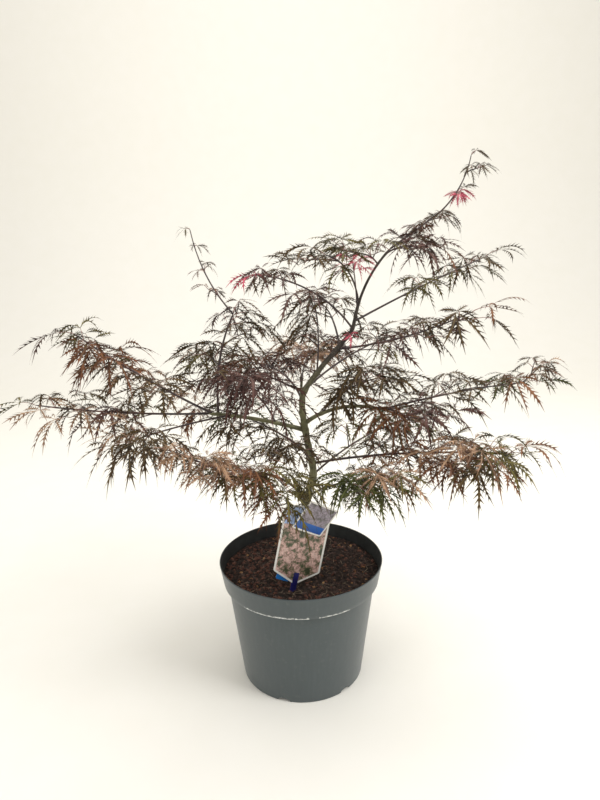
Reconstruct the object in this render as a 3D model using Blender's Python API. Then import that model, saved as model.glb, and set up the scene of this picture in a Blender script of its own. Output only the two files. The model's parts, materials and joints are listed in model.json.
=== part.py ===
"""A laceleaf japanese maple in a plastic nursery pot, in metres with +Z up.

The origin is the centre of the pot's flat underside and the labels face -Y. The plant is a trunk,
four boughs and the masses of foliage that grow on from them. Each mass is one stem with side twigs
and lobed leaves, placed by a seeded rule inside the mass's own space.
"""

import math
import random
from dataclasses import dataclass

import bmesh
import bpy
import numpy as np
from mathutils import Matrix, Vector

GAP = 0.0003  # clear between neighbouring pieces

# Pot: a tapered wall under a deeper, wider rim band
POT_HEIGHT = 0.2155
RIM_RADIUS = 0.1437
BAND_HEIGHT = 0.0385
BAND_FOOT_RADIUS = 0.137
WALL_TOP_RADIUS = 0.1303
BASE_RADIUS = 0.108
WALL = 0.0022
BASE_THICKNESS = 0.003
POT_SEGMENTS = 48
NOTCHES = 6
NOTCH_WIDTH = 0.022
NOTCH_HEIGHT = 0.0065
NOTCH_HEADING = -108.0  # of the first notch, degrees from +X

SOIL_TOP = 0.197
SOIL_DOME = 0.004  # how far the soil rises towards the trunk
SOIL_COLLAR = 0.02  # radius of the flat patch under the trunk

# Trunk: heights above the soil with the trunk's offset there in X and Y
TRUNK_COURSE = (
    (0.000, -0.002, 0.012),
    (0.085, 0.005, 0.010),
    (0.148, 0.020, 0.009),
    (0.180, 0.024, 0.008),
    (0.242, 0.013, 0.006),
    (0.305, 0.008, 0.004),
    (0.345, 0.031, 0.003),
    (0.386, 0.065, 0.002),
    (0.415, 0.089, 0.001),
    (0.439, 0.096, 0.000),
)
TRUNK_FOOT_DIAMETER = 0.0155
TRUNK_FORK_DIAMETER = 0.0052
ROOT_FLARE = 0.007  # added to the foot's radius, fading within FLARE_HEIGHT
FLARE_HEIGHT = 0.03
TRUNK_SIDES = 10
BOUGH_SIDES = 7
BOUGH_STEPS = 7
STEM_STEPS = 8
STEM_SIDES = 3

# Side twigs: radii at the foot, the middle and the tip
TWIG_RADII = (0.0014, 0.0012, 0.0009)
TWIG_SIDES = 3

# Leaves
LEAF_LENGTH = 0.070  # hub to the tip of the middle lobe, on a full-grown leaf
PETIOLE = 0.028
LEAF_THICKNESS = 0.0016
LEAF_SHOULDER = 0.0016  # from the hub back to where the blade narrows into its petiole
PETIOLE_RADIUS = 0.0011
RIB_RADIUS = 0.001
TIP_DROP = 0.19  # how far a lobe's tip hangs below the blade's plane, as a share of its length
LOBES = ((-78.0, 0.60), (-37.0, 0.90), (0.0, 1.0), (37.0, 0.90), (78.0, 0.60))
SMALL_LOBES = ((-50.0, 0.80), (0.0, 1.0), (50.0, 0.80))  # of the leaves along the side twigs
NOTCH_SHARE = 0.20  # how far out the cuts between the lobes start
CLEARANCE = 0.0034  # between a leaf or a twig and what else its own mass holds
FOREIGN_CLEARANCE = 0.0062  # between a leaf or a twig and everything outside its mass
ROOT_SHARE = 0.4  # of a petiole or twig that may lie beside its own mass
REACH = 0.125  # how far from its own stems a mass's leaves may go
TRIES = 10
FORK_FIRST = 0.15  # share of a fork that is bare
END_SHARE = 0.86  # past this share of a stem it bears leaves only
PAIR_TURN = 62.0  # degrees between a stem and the leaves along it
MIDDLE_TURN = 64.0  # and between a side twig and the leaf at its middle
TWIG_TURN = 46.0
TWIG_SWAY = 14.0
LEAF_SWAY = 22.0
DROOP = (16.0, 60.0)
HUB_RISE = (0.0, 0.95)  # slope of the petioles
STEM_TIP_HANG = 0.45  # droop of the leaf at a stem's tip, as a share of the others'
TWIG_TIP_HANG = 0.7


@dataclass(frozen=True)
class Limb:
    """A tapering limb: it leaves its parent at a share of the parent's length, and bends evenly."""

    name: str
    parent: str
    at: float
    heading: float  # degrees from +X, seen from above
    rise: float  # degrees above level
    length: float
    turn: float  # change of heading by the tip
    lift: float  # change of rise by the tip
    foot: float  # diameter
    tip: float


@dataclass(frozen=True)
class Mass:
    """One mass of foliage: its stem, any limbs that fork from it, and how it is clothed."""

    stem: Limb
    forks: tuple = ()
    first: float = 0.25  # share of a stem that is bare
    spacing: float = 0.046  # between leaf pairs
    spread: float = 0.065  # length of the side twigs near the stem's foot
    size: float = 1.0  # of its leaves
    tip_size: float = 1.0  # of the leaves on its forks
    tip_spread: float = 0.05  # length of the side twigs on its forks


BOUGHS = (
    Limb("left_bough", "trunk", 0.535, 190, 20, 0.166, 1, -12, 0.0074, 0.0052),
    Limb("right_bough", "trunk", 0.56, 355, 38, 0.138, 1, -55, 0.0070, 0.0050),
    Limb("back_bough", "trunk", 0.60, 93, 24, 0.120, -6, -12, 0.0062, 0.0044),
    Limb("top_bough", "trunk", 1.0, 17, 78, 0.123, -13, -33, 0.0046, 0.0036),
)

MASSES = (
    # left side
    Mass(
        Limb("far_left", "left_bough", 1.0, 178, -1, 0.287, 0, 9, 0.0040, 0.0022),
        spacing=0.052,
        spread=0.05,
    ),
    Mass(Limb("upper_left", "left_bough", 0.95, 191, 30, 0.248, 5, 10, 0.0040, 0.0022), spread=0.05),
    Mass(
        Limb("left_rise", "left_bough", 0.90, 104, 69, 0.177, -58, -13, 0.0040, 0.0030),
        (Limb("left_rise_tip", "left_rise", 1.0, 168, 47, 0.163, -26, 29, 0.0030, 0.0016),),
        spacing=0.04,
        spread=0.072,
        size=0.9,
        tip_size=0.4,
        first=0.4,
        tip_spread=0.02,
    ),
    Mass(
        Limb("left_low", "left_bough", 0.80, 225, 3, 0.195, 10, -4, 0.0034, 0.0020),
        first=0.7,
    ),
    Mass(
        Limb("left_inner", "left_bough", 0.32, 241, 58, 0.130, -22, -24, 0.0032, 0.0018),
        first=0.35,
        spacing=0.036,
    ),
    # front, low
    Mass(
        Limb("low_left", "trunk", 0.25, 243, 49, 0.255, -2, -40, 0.0044, 0.0028),
        (
            Limb("low_left_out", "low_left", 1.0, 211, 35, 0.110, 2, -6, 0.0028, 0.0018),
            Limb("low_left_drop", "low_left", 0.74, 335, -54, 0.062, 0, -16, 0.0020, 0.0014),
        ),
        first=0.5,
        size=0.9,
        tip_size=0.7,
    ),
    Mass(
        Limb("low_front_right", "trunk", 0.275, 312, 34, 0.230, -18, -21, 0.0044, 0.0022),
        first=0.48,
        size=0.9,
    ),
    Mass(
        Limb("lower_right", "trunk", 0.405, 341, 15, 0.325, -13, -10, 0.0046, 0.0022),
        (Limb("lower_right_low", "lower_right", 0.51, 314, -8, 0.155, -11, 26, 0.0026, 0.0016),),
        tip_size=0.85,
    ),
    Mass(
        Limb("front_centre", "trunk", 0.475, 240, 24, 0.140, 6, -34, 0.0034, 0.0020),
        size=0.85,
        first=0.25,
    ),
    # right side
    Mass(
        Limb("far_right", "right_bough", 1.0, 10, 12, 0.253, -1, -9, 0.0040, 0.0022),
        (Limb("far_right_tip", "far_right", 1.0, 8, 34, 0.042, 0, 20, 0.0022, 0.0014),),
        spread=0.055,
        tip_size=0.6,
        first=0.3,
    ),
    Mass(
        Limb("right_front", "right_bough", 0.88, 318, 10, 0.100, -30, -26, 0.0036, 0.0022),
        first=0.15,
        spacing=0.026,
    ),
    Mass(Limb("right_side", "right_bough", 0.25, 345, 55, 0.115, -10, -40, 0.0032, 0.0020)),
    Mass(
        Limb("right_mid", "trunk", 0.87, 339, 7, 0.226, -11, 20, 0.0038, 0.0018),
        spread=0.05,
        spacing=0.066,
    ),
    # crown
    Mass(
        Limb("top_shoot", "top_bough", 1.0, 7, 34, 0.098, 0, 1, 0.0034, 0.0026),
        (Limb("top_tip", "top_shoot", 1.0, 0, 43, 0.096, 0, 38, 0.0026, 0.0014),),
        spacing=0.036,
        spread=0.036,
        size=0.5,
        tip_size=0.4,
        tip_spread=0.024,
    ),
    Mass(
        Limb("upper_right", "trunk", 0.985, 20, 24, 0.262, -1, -5, 0.0038, 0.0018),
        first=0.42,
        spread=0.05,
        size=0.85,
        spacing=0.058,
    ),
    Mass(
        Limb("crimson_left", "trunk", 0.96, 195, 54, 0.172, 2, -45, 0.0036, 0.0020),
        size=0.8,
        spacing=0.06,
    ),
    Mass(
        Limb("upper_short", "top_bough", 0.10, 258, 70, 0.086, -8, -14, 0.0024, 0.0016),
        size=0.5,
        first=0.8,
    ),
    Mass(Limb("upper_inner", "top_bough", 0.18, 244, 70, 0.125, -21, -60, 0.0032, 0.0018), size=0.8),
    Mass(
        Limb("top_drape", "top_bough", 0.90, 322, 34, 0.066, 6, -56, 0.0028, 0.0018),
        first=0.1,
        spacing=0.033,
        spread=0.03,
        size=0.85,
    ),
    Mass(
        Limb("top_inner", "top_bough", 0.74, 225, 46, 0.060, -25, -62, 0.0028, 0.0018),
        first=0.1,
        spacing=0.024,
        spread=0.045,
        size=0.85,
    ),
    Mass(
        Limb("fork_bud", "trunk", 0.93, 278, 20, 0.012, 0, 0, 0.0020, 0.0014),
        first=0.5,
        size=0.36,
    ),
    # back
    Mass(
        Limb("inner_left", "trunk", 0.645, 106, 29, 0.190, 34, -32, 0.0036, 0.0020),
        spacing=0.04,
    ),
    Mass(Limb("inner_rise", "trunk", 0.76, 60, 78, 0.120, 60, -10, 0.0032, 0.0018), size=0.85),
    Mass(Limb("back_shoot", "back_bough", 1.0, 86, 13, 0.190, -6, -14, 0.0038, 0.0020)),
    Mass(Limb("back_left", "back_bough", 0.55, 136, 14, 0.255, 10, -12, 0.0038, 0.0020)),
    Mass(
        Limb("back_right", "trunk", 0.69, 48, 24, 0.300, -8, -22, 0.0040, 0.0020),
        spacing=0.06,
    ),
    Mass(
        Limb("low_back_left", "trunk", 0.44, 140, 24, 0.260, 6, -26, 0.0040, 0.0020),
        spacing=0.06,
    ),
    Mass(
        Limb("low_back_right", "trunk", 0.36, 38, 26, 0.270, 4, -30, 0.0040, 0.0020),
        spacing=0.06,
    ),
    Mass(
        Limb("back_top", "trunk", 0.885, 96, 40, 0.200, 10, -45, 0.0036, 0.0020),
        size=0.9,
        spacing=0.07,
    ),
)

# Labels
LABEL_THICKNESS = 0.0010
LABEL_CORNER = 0.003
PLATE_ROWS = 12  # segments that stand for a label where foliage is laid out
LABEL_TIP = (-0.0116, -0.080, 0.206)  # the picture label's lowest point
LABEL_SIZE = (0.080, 0.137)
LABEL_POINT = 0.022  # depth of its pointed foot
LABEL_TURNS = (14.0, 1.0, 12.5)  # turned about Z, leaning back, tilted clockwise; degrees
BACK_LABEL_SIZE = (0.024, 0.100)
BACK_LABEL_AT = (-0.0113, 0.0536)  # its centre across and up from the picture label's tip
BACK_LABEL_TILT = 24.0
TAG_SIZE = (0.058, 0.056)
TAG_CENTRE = (0.0255, -0.0835, 0.3225)
TAG_TURNS = (17.0, -16.0, 31.0)
TAG_STRAP = 0.0022
STRAP_HEIGHT = 0.160  # above the soil, where the strap goes round the trunk
STRAP_INSET = 0.005  # from the tag's top edge
STRAP_PAIR = 0.003  # half the distance between the strap's two ends at the tag
STRAP_WRAP = 70.0  # degrees round the trunk at which the strap meets it
STRAP_STEPS = 9
STRAP_SLACK = 1.04
STAKE_WIDTH = 0.010
STAKE_THICKNESS = 0.0016
STAKE_ABOVE = 0.075
STAKE_BELOW = 0.045


def clear_scene():
    for obj in list(bpy.data.objects):
        bpy.data.objects.remove(obj)


def material(name, colour, roughness, metallic=0.0):
    """A Principled material, with its colour given as sRGB hex."""
    parts = [int(colour[i : i + 2], 16) / 255 for i in (1, 3, 5)]
    linear = [c / 12.92 if c <= 0.04045 else ((c + 0.055) / 1.055) ** 2.4 for c in parts]
    mat = bpy.data.materials.new(name)
    mat.use_nodes = True
    shader = mat.node_tree.nodes["Principled BSDF"]
    shader.inputs["Base Color"].default_value = (*linear, 1.0)
    shader.inputs["Roughness"].default_value = roughness
    shader.inputs["Metallic"].default_value = metallic
    return mat


def add_solid(name, points, faces, mat):
    """One named object from points and faces in world space."""
    mesh = bpy.data.meshes.new(name)
    mesh.from_pydata([tuple(p) for p in points], [], faces)
    mesh.materials.append(mat)
    obj = bpy.data.objects.new(name, mesh)
    bpy.context.collection.objects.link(obj)
    return obj


def shade_round(obj, angle=35.0):
    obj.data.shade_smooth()
    obj.data.set_sharp_from_angle(angle=math.radians(angle))


def apply_boolean(obj, operation, other, solver="EXACT"):
    """Joins or cuts with an object or a collection, keeps the result and removes what was used."""
    mod = obj.modifiers.new("Join", "BOOLEAN")
    mod.operation = operation
    mod.solver = solver
    if isinstance(other, bpy.types.Collection):
        mod.operand_type = "COLLECTION"
        mod.collection = other
        used = list(other.objects)
    else:
        mod.object = other
        used = [other]
    graph = bpy.context.evaluated_depsgraph_get()
    mesh = bpy.data.meshes.new_from_object(obj.evaluated_get(graph))
    obj.modifiers.remove(mod)
    obj.data = mesh
    for item in used:
        bpy.data.objects.remove(item)
    if isinstance(other, bpy.types.Collection):
        bpy.data.collections.remove(other)


# Pot and soil


def turned_solid(name, profile, segments, mat):
    """A solid of revolution about Z from (radius, height) pairs, which start and end on the axis."""
    points = [Vector((0, 0, profile[0][1])), Vector((0, 0, profile[-1][1]))]
    rings = []
    for radius, height in profile[1:-1]:
        rings.append(len(points))
        for i in range(segments):
            angle = math.tau * i / segments
            points.append(Vector((radius * math.cos(angle), radius * math.sin(angle), height)))
    faces = []
    for i in range(segments):
        j = (i + 1) % segments
        faces.append((0, rings[0] + j, rings[0] + i))
        faces.append((1, rings[-1] + i, rings[-1] + j))
        for low, high in zip(rings, rings[1:]):
            faces.append((low + i, low + j, high + j, high + i))
    return add_solid(name, points, faces, mat)


def pot_inside(offset):
    """The inside of the pot's wall as (radius, height) pairs, drawn in by offset."""
    step = POT_HEIGHT - BAND_HEIGHT
    band_slope = (RIM_RADIUS - BAND_FOOT_RADIUS) / BAND_HEIGHT
    step_inside = step + 2 * WALL
    band_inside = BAND_FOOT_RADIUS - WALL + band_slope * 2 * WALL
    return [
        (BASE_RADIUS - WALL - offset, BASE_THICKNESS + offset),
        (WALL_TOP_RADIUS - WALL - offset, step + offset),
        (band_inside - offset, step_inside + offset),
        (RIM_RADIUS - WALL - offset, POT_HEIGHT),
    ]


def build_pot(mat):
    outside = [
        (0, 0),
        (BASE_RADIUS, 0),
        (WALL_TOP_RADIUS, POT_HEIGHT - BAND_HEIGHT),
        (BAND_FOOT_RADIUS, POT_HEIGHT - BAND_HEIGHT),
        (RIM_RADIUS, POT_HEIGHT),
    ]
    inside = pot_inside(0)
    pot = turned_solid("pot", outside + inside[::-1] + [(0, BASE_THICKNESS)], POT_SEGMENTS, mat)
    for i in range(NOTCHES):
        cut_notch(pot, math.radians(NOTCH_HEADING + 360 / NOTCHES * i), mat)
    shade_round(pot, 30)


def cut_notch(pot, heading, mat):
    """An arched drainage notch through the foot of the wall and the edge of the base."""
    across = Vector((-math.sin(heading), math.cos(heading), 0))
    outward = Vector((math.cos(heading), math.sin(heading), 0))
    arch = [(-0.5, -0.3), (-0.5, 0.45), (-0.3, 0.9), (0, 1.0), (0.3, 0.9), (0.5, 0.45), (0.5, -0.3)]
    points = []
    for reach in (BASE_RADIUS - 4 * WALL, BASE_RADIUS + 4 * WALL):
        for x, z in arch:
            points.append(outward * reach + across * x * NOTCH_WIDTH + Vector((0, 0, z * NOTCH_HEIGHT)))
    n = len(arch)
    faces = [tuple(range(n))[::-1], tuple(range(n, 2 * n))]
    faces += [(i, (i + 1) % n, n + (i + 1) % n, n + i) for i in range(n)]
    cutter = add_solid("notch_cutter", points, faces, mat)
    face_outwards(cutter)
    apply_boolean(pot, "DIFFERENCE", cutter)


def face_outwards(obj):
    mesh = bmesh.new()
    mesh.from_mesh(obj.data)
    bmesh.ops.recalc_face_normals(mesh, faces=mesh.faces)
    mesh.to_mesh(obj.data)
    mesh.free()


def build_soil(mat, stake_slot):
    """The potting mix, up to a little below the rim, with a slot for the label's stake."""
    wall = pot_inside(GAP)
    share = (SOIL_TOP - SOIL_DOME - wall[2][1]) / (wall[3][1] - wall[2][1])
    edge = wall[2][0] + share * (wall[3][0] - wall[2][0])
    foot = BASE_THICKNESS + GAP
    profile = [(0, foot), *wall[:3], (edge, SOIL_TOP - SOIL_DOME), (SOIL_COLLAR, SOIL_TOP), (0, SOIL_TOP)]
    soil = turned_solid("soil", profile, POT_SEGMENTS, mat)
    apply_boolean(soil, "DIFFERENCE", stake_slot)


# Limbs


def limb_line(limb, start, steps):
    """Points along a limb from start, its heading and rise changing evenly."""
    points = [np.array(start, float)]
    for i in range(steps):
        share = (i + 0.5) / steps
        heading = math.radians(limb.heading + limb.turn * share)
        rise = math.radians(limb.rise + limb.lift * share)
        flat = math.cos(rise)
        step = np.array([flat * math.cos(heading), flat * math.sin(heading), math.sin(rise)])
        points.append(points[-1] + step * limb.length / steps)
    return np.array(points)


def smooth_course(stations, steps):
    """A smooth line through the stations, with steps points on each span."""
    p = np.array(stations, float)
    ends = np.vstack([2 * p[0] - p[1], p, 2 * p[-1] - p[-2]])
    line = []
    for i in range(len(p) - 1):
        a, b, c, d = ends[i : i + 4]
        for t in np.arange(steps) / steps:
            bend = (2 * a - 5 * b + 4 * c - d) * t**2 + (3 * b - a - 3 * c + d) * t**3
            line.append(0.5 * (2 * b + (c - a) * t + bend))
    return np.array([*line, p[-1]])


def along(line, share):
    """The point at a share of a line's length."""
    lengths = np.r_[0, np.cumsum(np.linalg.norm(np.diff(line, axis=0), axis=1))]
    place = share * lengths[-1]
    return np.array([np.interp(place, lengths, line[:, k]) for k in range(3)])


def direction(line, share):
    step = along(line, min(1, share + 0.02)) - along(line, max(0, share - 0.02))
    return step / np.linalg.norm(step)


def tube(line, radii, sides):
    """A closed tube round a line, as points and faces. Its end caps are square to the line."""
    ways = np.gradient(line, axis=0)
    ways /= np.linalg.norm(ways, axis=1)[:, None]
    across = np.cross(ways[0], [0.31, 0.92, 0.24])
    points = []
    for at, way, radius in zip(line, ways, radii):
        across -= way * across.dot(way)
        across /= np.linalg.norm(across)
        up = np.cross(way, across)
        for i in range(sides):
            angle = math.tau * i / sides
            points.append(at + radius * (math.cos(angle) * across + math.sin(angle) * up))
    last = (len(line) - 1) * sides
    faces = [tuple(range(sides))[::-1], tuple(last + i for i in range(sides))]
    for ring in range(0, last, sides):
        for i in range(sides):
            j = (i + 1) % sides
            faces.append((ring + i, ring + j, ring + sides + j, ring + sides + i))
    return points, faces


class Plant:
    """Keeps each limb's line and radii, so that what grows from it can find its seat.

    rows holds the numbers of each limb's segments in the space.
    """

    def __init__(self):
        self.lines = {}
        self.radii = {}
        self.rows = {}

    def add(self, name, line, radii):
        self.lines[name] = line
        self.radii[name] = radii

    def grow(self, limb, steps):
        """Adds a limb from its seat on its parent."""
        start = along(self.lines[limb.parent], limb.at)
        line = limb_line(limb, start, steps)
        self.add(limb.name, line, np.linspace(limb.foot / 2, limb.tip / 2, len(line)))

    def envelope(self, name):
        """A cutter that stands clear of a limb all round."""
        sides = TRUNK_SIDES if name == "trunk" else BOUGH_SIDES
        line = self.lines[name].copy()
        line[-1] += GAP * direction(line, 1.0)
        points, faces = tube(line, self.radii[name] + GAP / math.cos(math.pi / sides), sides)
        return add_solid(name + "_envelope", points, faces, None)


def build_trunk(plant, mat):
    stations = [(x, y, SOIL_TOP + GAP + z) for z, x, y in TRUNK_COURSE]
    line = smooth_course(stations, 3)
    shares = np.linspace(0, 1, len(line))
    radii = (TRUNK_FOOT_DIAMETER + (TRUNK_FORK_DIAMETER - TRUNK_FOOT_DIAMETER) * shares) / 2
    line, radii = with_flare(line, radii)
    plant.add("trunk", line, radii)
    points, faces = tube(line, radii, TRUNK_SIDES)
    trunk = add_solid("trunk", points, faces, mat)
    level_foot(trunk, TRUNK_SIDES, SOIL_TOP + GAP)
    shade_round(trunk)


def with_flare(line, radii):
    """The trunk's line with two more stations in its foot, and its radii with the root flare."""
    extra = [line[0] + (line[1] - line[0]) * share for share in (0.3, 0.65)]
    radius = [radii[0] + (radii[1] - radii[0]) * share for share in (0.3, 0.65)]
    line = np.vstack([line[:1], extra, line[1:]])
    radii = np.r_[radii[:1], radius, radii[1:]]
    height = np.clip((line[:, 2] - line[0, 2]) / FLARE_HEIGHT, 0, 1)
    return line, radii + ROOT_FLARE * (1 - height) ** 2


def level_foot(obj, sides, height):
    """Makes the foot's cap a level cut."""
    for vertex in obj.data.vertices[:sides]:
        vertex.co.z = height


def build_bough(plant, limb, mat):
    plant.grow(limb, BOUGH_STEPS)
    points, faces = tube(plant.lines[limb.name], plant.radii[limb.name], BOUGH_SIDES)
    bough = add_solid(limb.name, points, faces, mat)
    apply_boolean(bough, "DIFFERENCE", plant.envelope(limb.parent))
    shade_round(bough)


# Foliage


def segment_gaps(p0, p1, q0, q1):
    """The least distance between each segment p0-p1 and each segment q0-q1."""
    u, v = p1 - p0, q1 - q0
    w = p0[:, None] - q0[None]
    uu = np.maximum((u * u).sum(-1), 1e-12)[:, None]
    vv = np.maximum((v * v).sum(-1), 1e-12)[None]
    uv = u @ v.T
    uw = (u[:, None] * w).sum(-1)
    vw = (v[None] * w).sum(-1)
    s = np.clip((uv * vw - vv * uw) / np.maximum(uu * vv - uv * uv, 1e-14), 0, 1)
    t = np.clip((uv * s + vw) / vv, 0, 1)
    s = np.clip((uv * t - uw) / uu, 0, 1)
    return np.linalg.norm(w + s[..., None] * u[:, None] - t[..., None] * v[None], axis=-1)


class Space:
    """What stands where: each limb, twig and leaf as segments, and each mass's own stems."""

    def __init__(self):
        self.starts = []
        self.ends = []
        self.radii = []
        self.owners = []
        self.stem_rows = []

    def put(self, owner, starts, ends, radii):
        """Adds segments, and returns their numbers."""
        first = len(self.starts)
        self.starts += list(starts)
        self.ends += list(ends)
        self.radii += list(radii)
        self.owners += [owner] * len(starts)
        return set(range(first, len(self.starts)))

    def put_plate(self, owner, origin, frame, low, high):
        """Adds a plate as upright segments, its corners given across and up from its origin."""
        across, up = np.array(frame[0]), np.array(frame[1])
        for x in np.linspace(low[0], high[0], PLATE_ROWS):
            start = np.array(origin) + across * x + up * low[1]
            self.put(owner, [start], [start + up * (high[1] - low[1])], [LABEL_THICKNESS])

    def clear(self, owner, starts, ends, skip):
        """Whether segments stand clear of all but the rows in skip, within the owner's reach.

        The first segment grows from its own mass, so there it is only tested past its root.
        """
        p0, p1 = np.array(starts), np.array(ends)
        q0, q1, radii = np.array(self.starts), np.array(self.ends), np.array(self.radii)
        mine = np.array([name == owner for name in self.owners])
        if (segment_gaps(p0, p1, q0[~mine], q1[~mine]) - radii[~mine]).min() < FOREIGN_CLEARANCE:
            return False
        p0[0] += (p1[0] - p0[0]) * ROOT_SHARE
        mine[list(skip)] = False
        if mine.any() and (segment_gaps(p0, p1, q0[mine], q1[mine]) - radii[mine]).min() < CLEARANCE:
            return False
        own = [row for row in self.stem_rows if self.owners[row] == owner]
        return bool(segment_gaps(p1, p1, q0[own], q1[own]).min(1).max() < REACH)


def unit(v):
    return v / np.linalg.norm(v)


def leaf_shape(root, hub, way, droop, length, lobes):
    """A lobed leaf on its petiole, as points, faces and the segments along its ribs.

    root and hub are the petiole's ends, way is the level way that the middle lobe points, and droop
    is how many degrees the blade hangs below level.
    """
    side = unit(np.cross([0, 0, 1], way))
    drop = math.radians(droop)
    ahead = way * math.cos(drop) - np.array([0, 0, 1]) * math.sin(drop)
    normal = unit(np.cross(ahead, side))
    half = LEAF_THICKNESS / 2
    outline = []
    for i, (angle, share) in enumerate(lobes):
        turn = math.radians(angle)
        ray = ahead * math.cos(turn) + side * math.sin(turn)
        tip = hub + ray * length * share - np.array([0, 0, TIP_DROP * length * share])
        if i:
            middle = math.radians((angle + lobes[i - 1][0]) / 2)
            cut = ahead * math.cos(middle) + side * math.sin(middle)
            outline.append(hub + cut * length * NOTCH_SHARE)
        outline.append(tip)
    back = unit(root - hub)
    above = unit(np.cross(side, back))
    neck = hub + back * LEAF_SHOULDER
    ring = [neck - side * 1.6 * LEAF_SHOULDER, *outline, neck + side * 1.6 * LEAF_SHOULDER]
    # at the hub the thickness is set off along the mitre between the blade and its petiole
    mitre = unit(normal + above)
    mitre /= mitre.dot(normal)
    top = hub + mitre * half
    bottom = hub - mitre * half * 1.3
    foot = side * PETIOLE_RADIUS
    root_ring = [root - foot, root + foot, root - above * PETIOLE_RADIUS * 1.2]
    points = [*ring, top, bottom, *root_ring]
    n = len(ring)
    faces = [(n, i, (i + 1) % n) for i in range(n)]
    faces += [(n + 1, i + 1, i) for i in range(n - 1)]
    faces += petiole_faces(n, points)
    return points, faces, ([root, *[hub] * len(outline)], [hub, *outline])


def petiole_faces(n, points):
    """Faces between the root and the blade's first and last outline points and underside."""
    blade = [0, n - 1, n + 1]
    root = [n + 2, n + 3, n + 4]
    across = points[n - 1] - points[0]
    if (points[n + 3] - points[n + 2]).dot(across) < 0:
        root[0], root[1] = root[1], root[0]
    faces = []
    for i in range(3):
        j = (i + 1) % 3
        faces.append((blade[i], blade[j], root[j], root[i]))
    faces.append(tuple(root))
    return faces


def shell(name, points, faces, mat):
    obj = add_solid(name, points, faces, mat)
    face_outwards(obj)
    return obj


def level(way):
    return unit(np.array([way[0], way[1], 0.0]))


def turned(way, degrees):
    """A level direction turned about Z."""
    a = math.radians(degrees)
    x = way[0] * math.cos(a) - way[1] * math.sin(a)
    return np.array([x, way[0] * math.sin(a) + way[1] * math.cos(a), 0])


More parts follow.
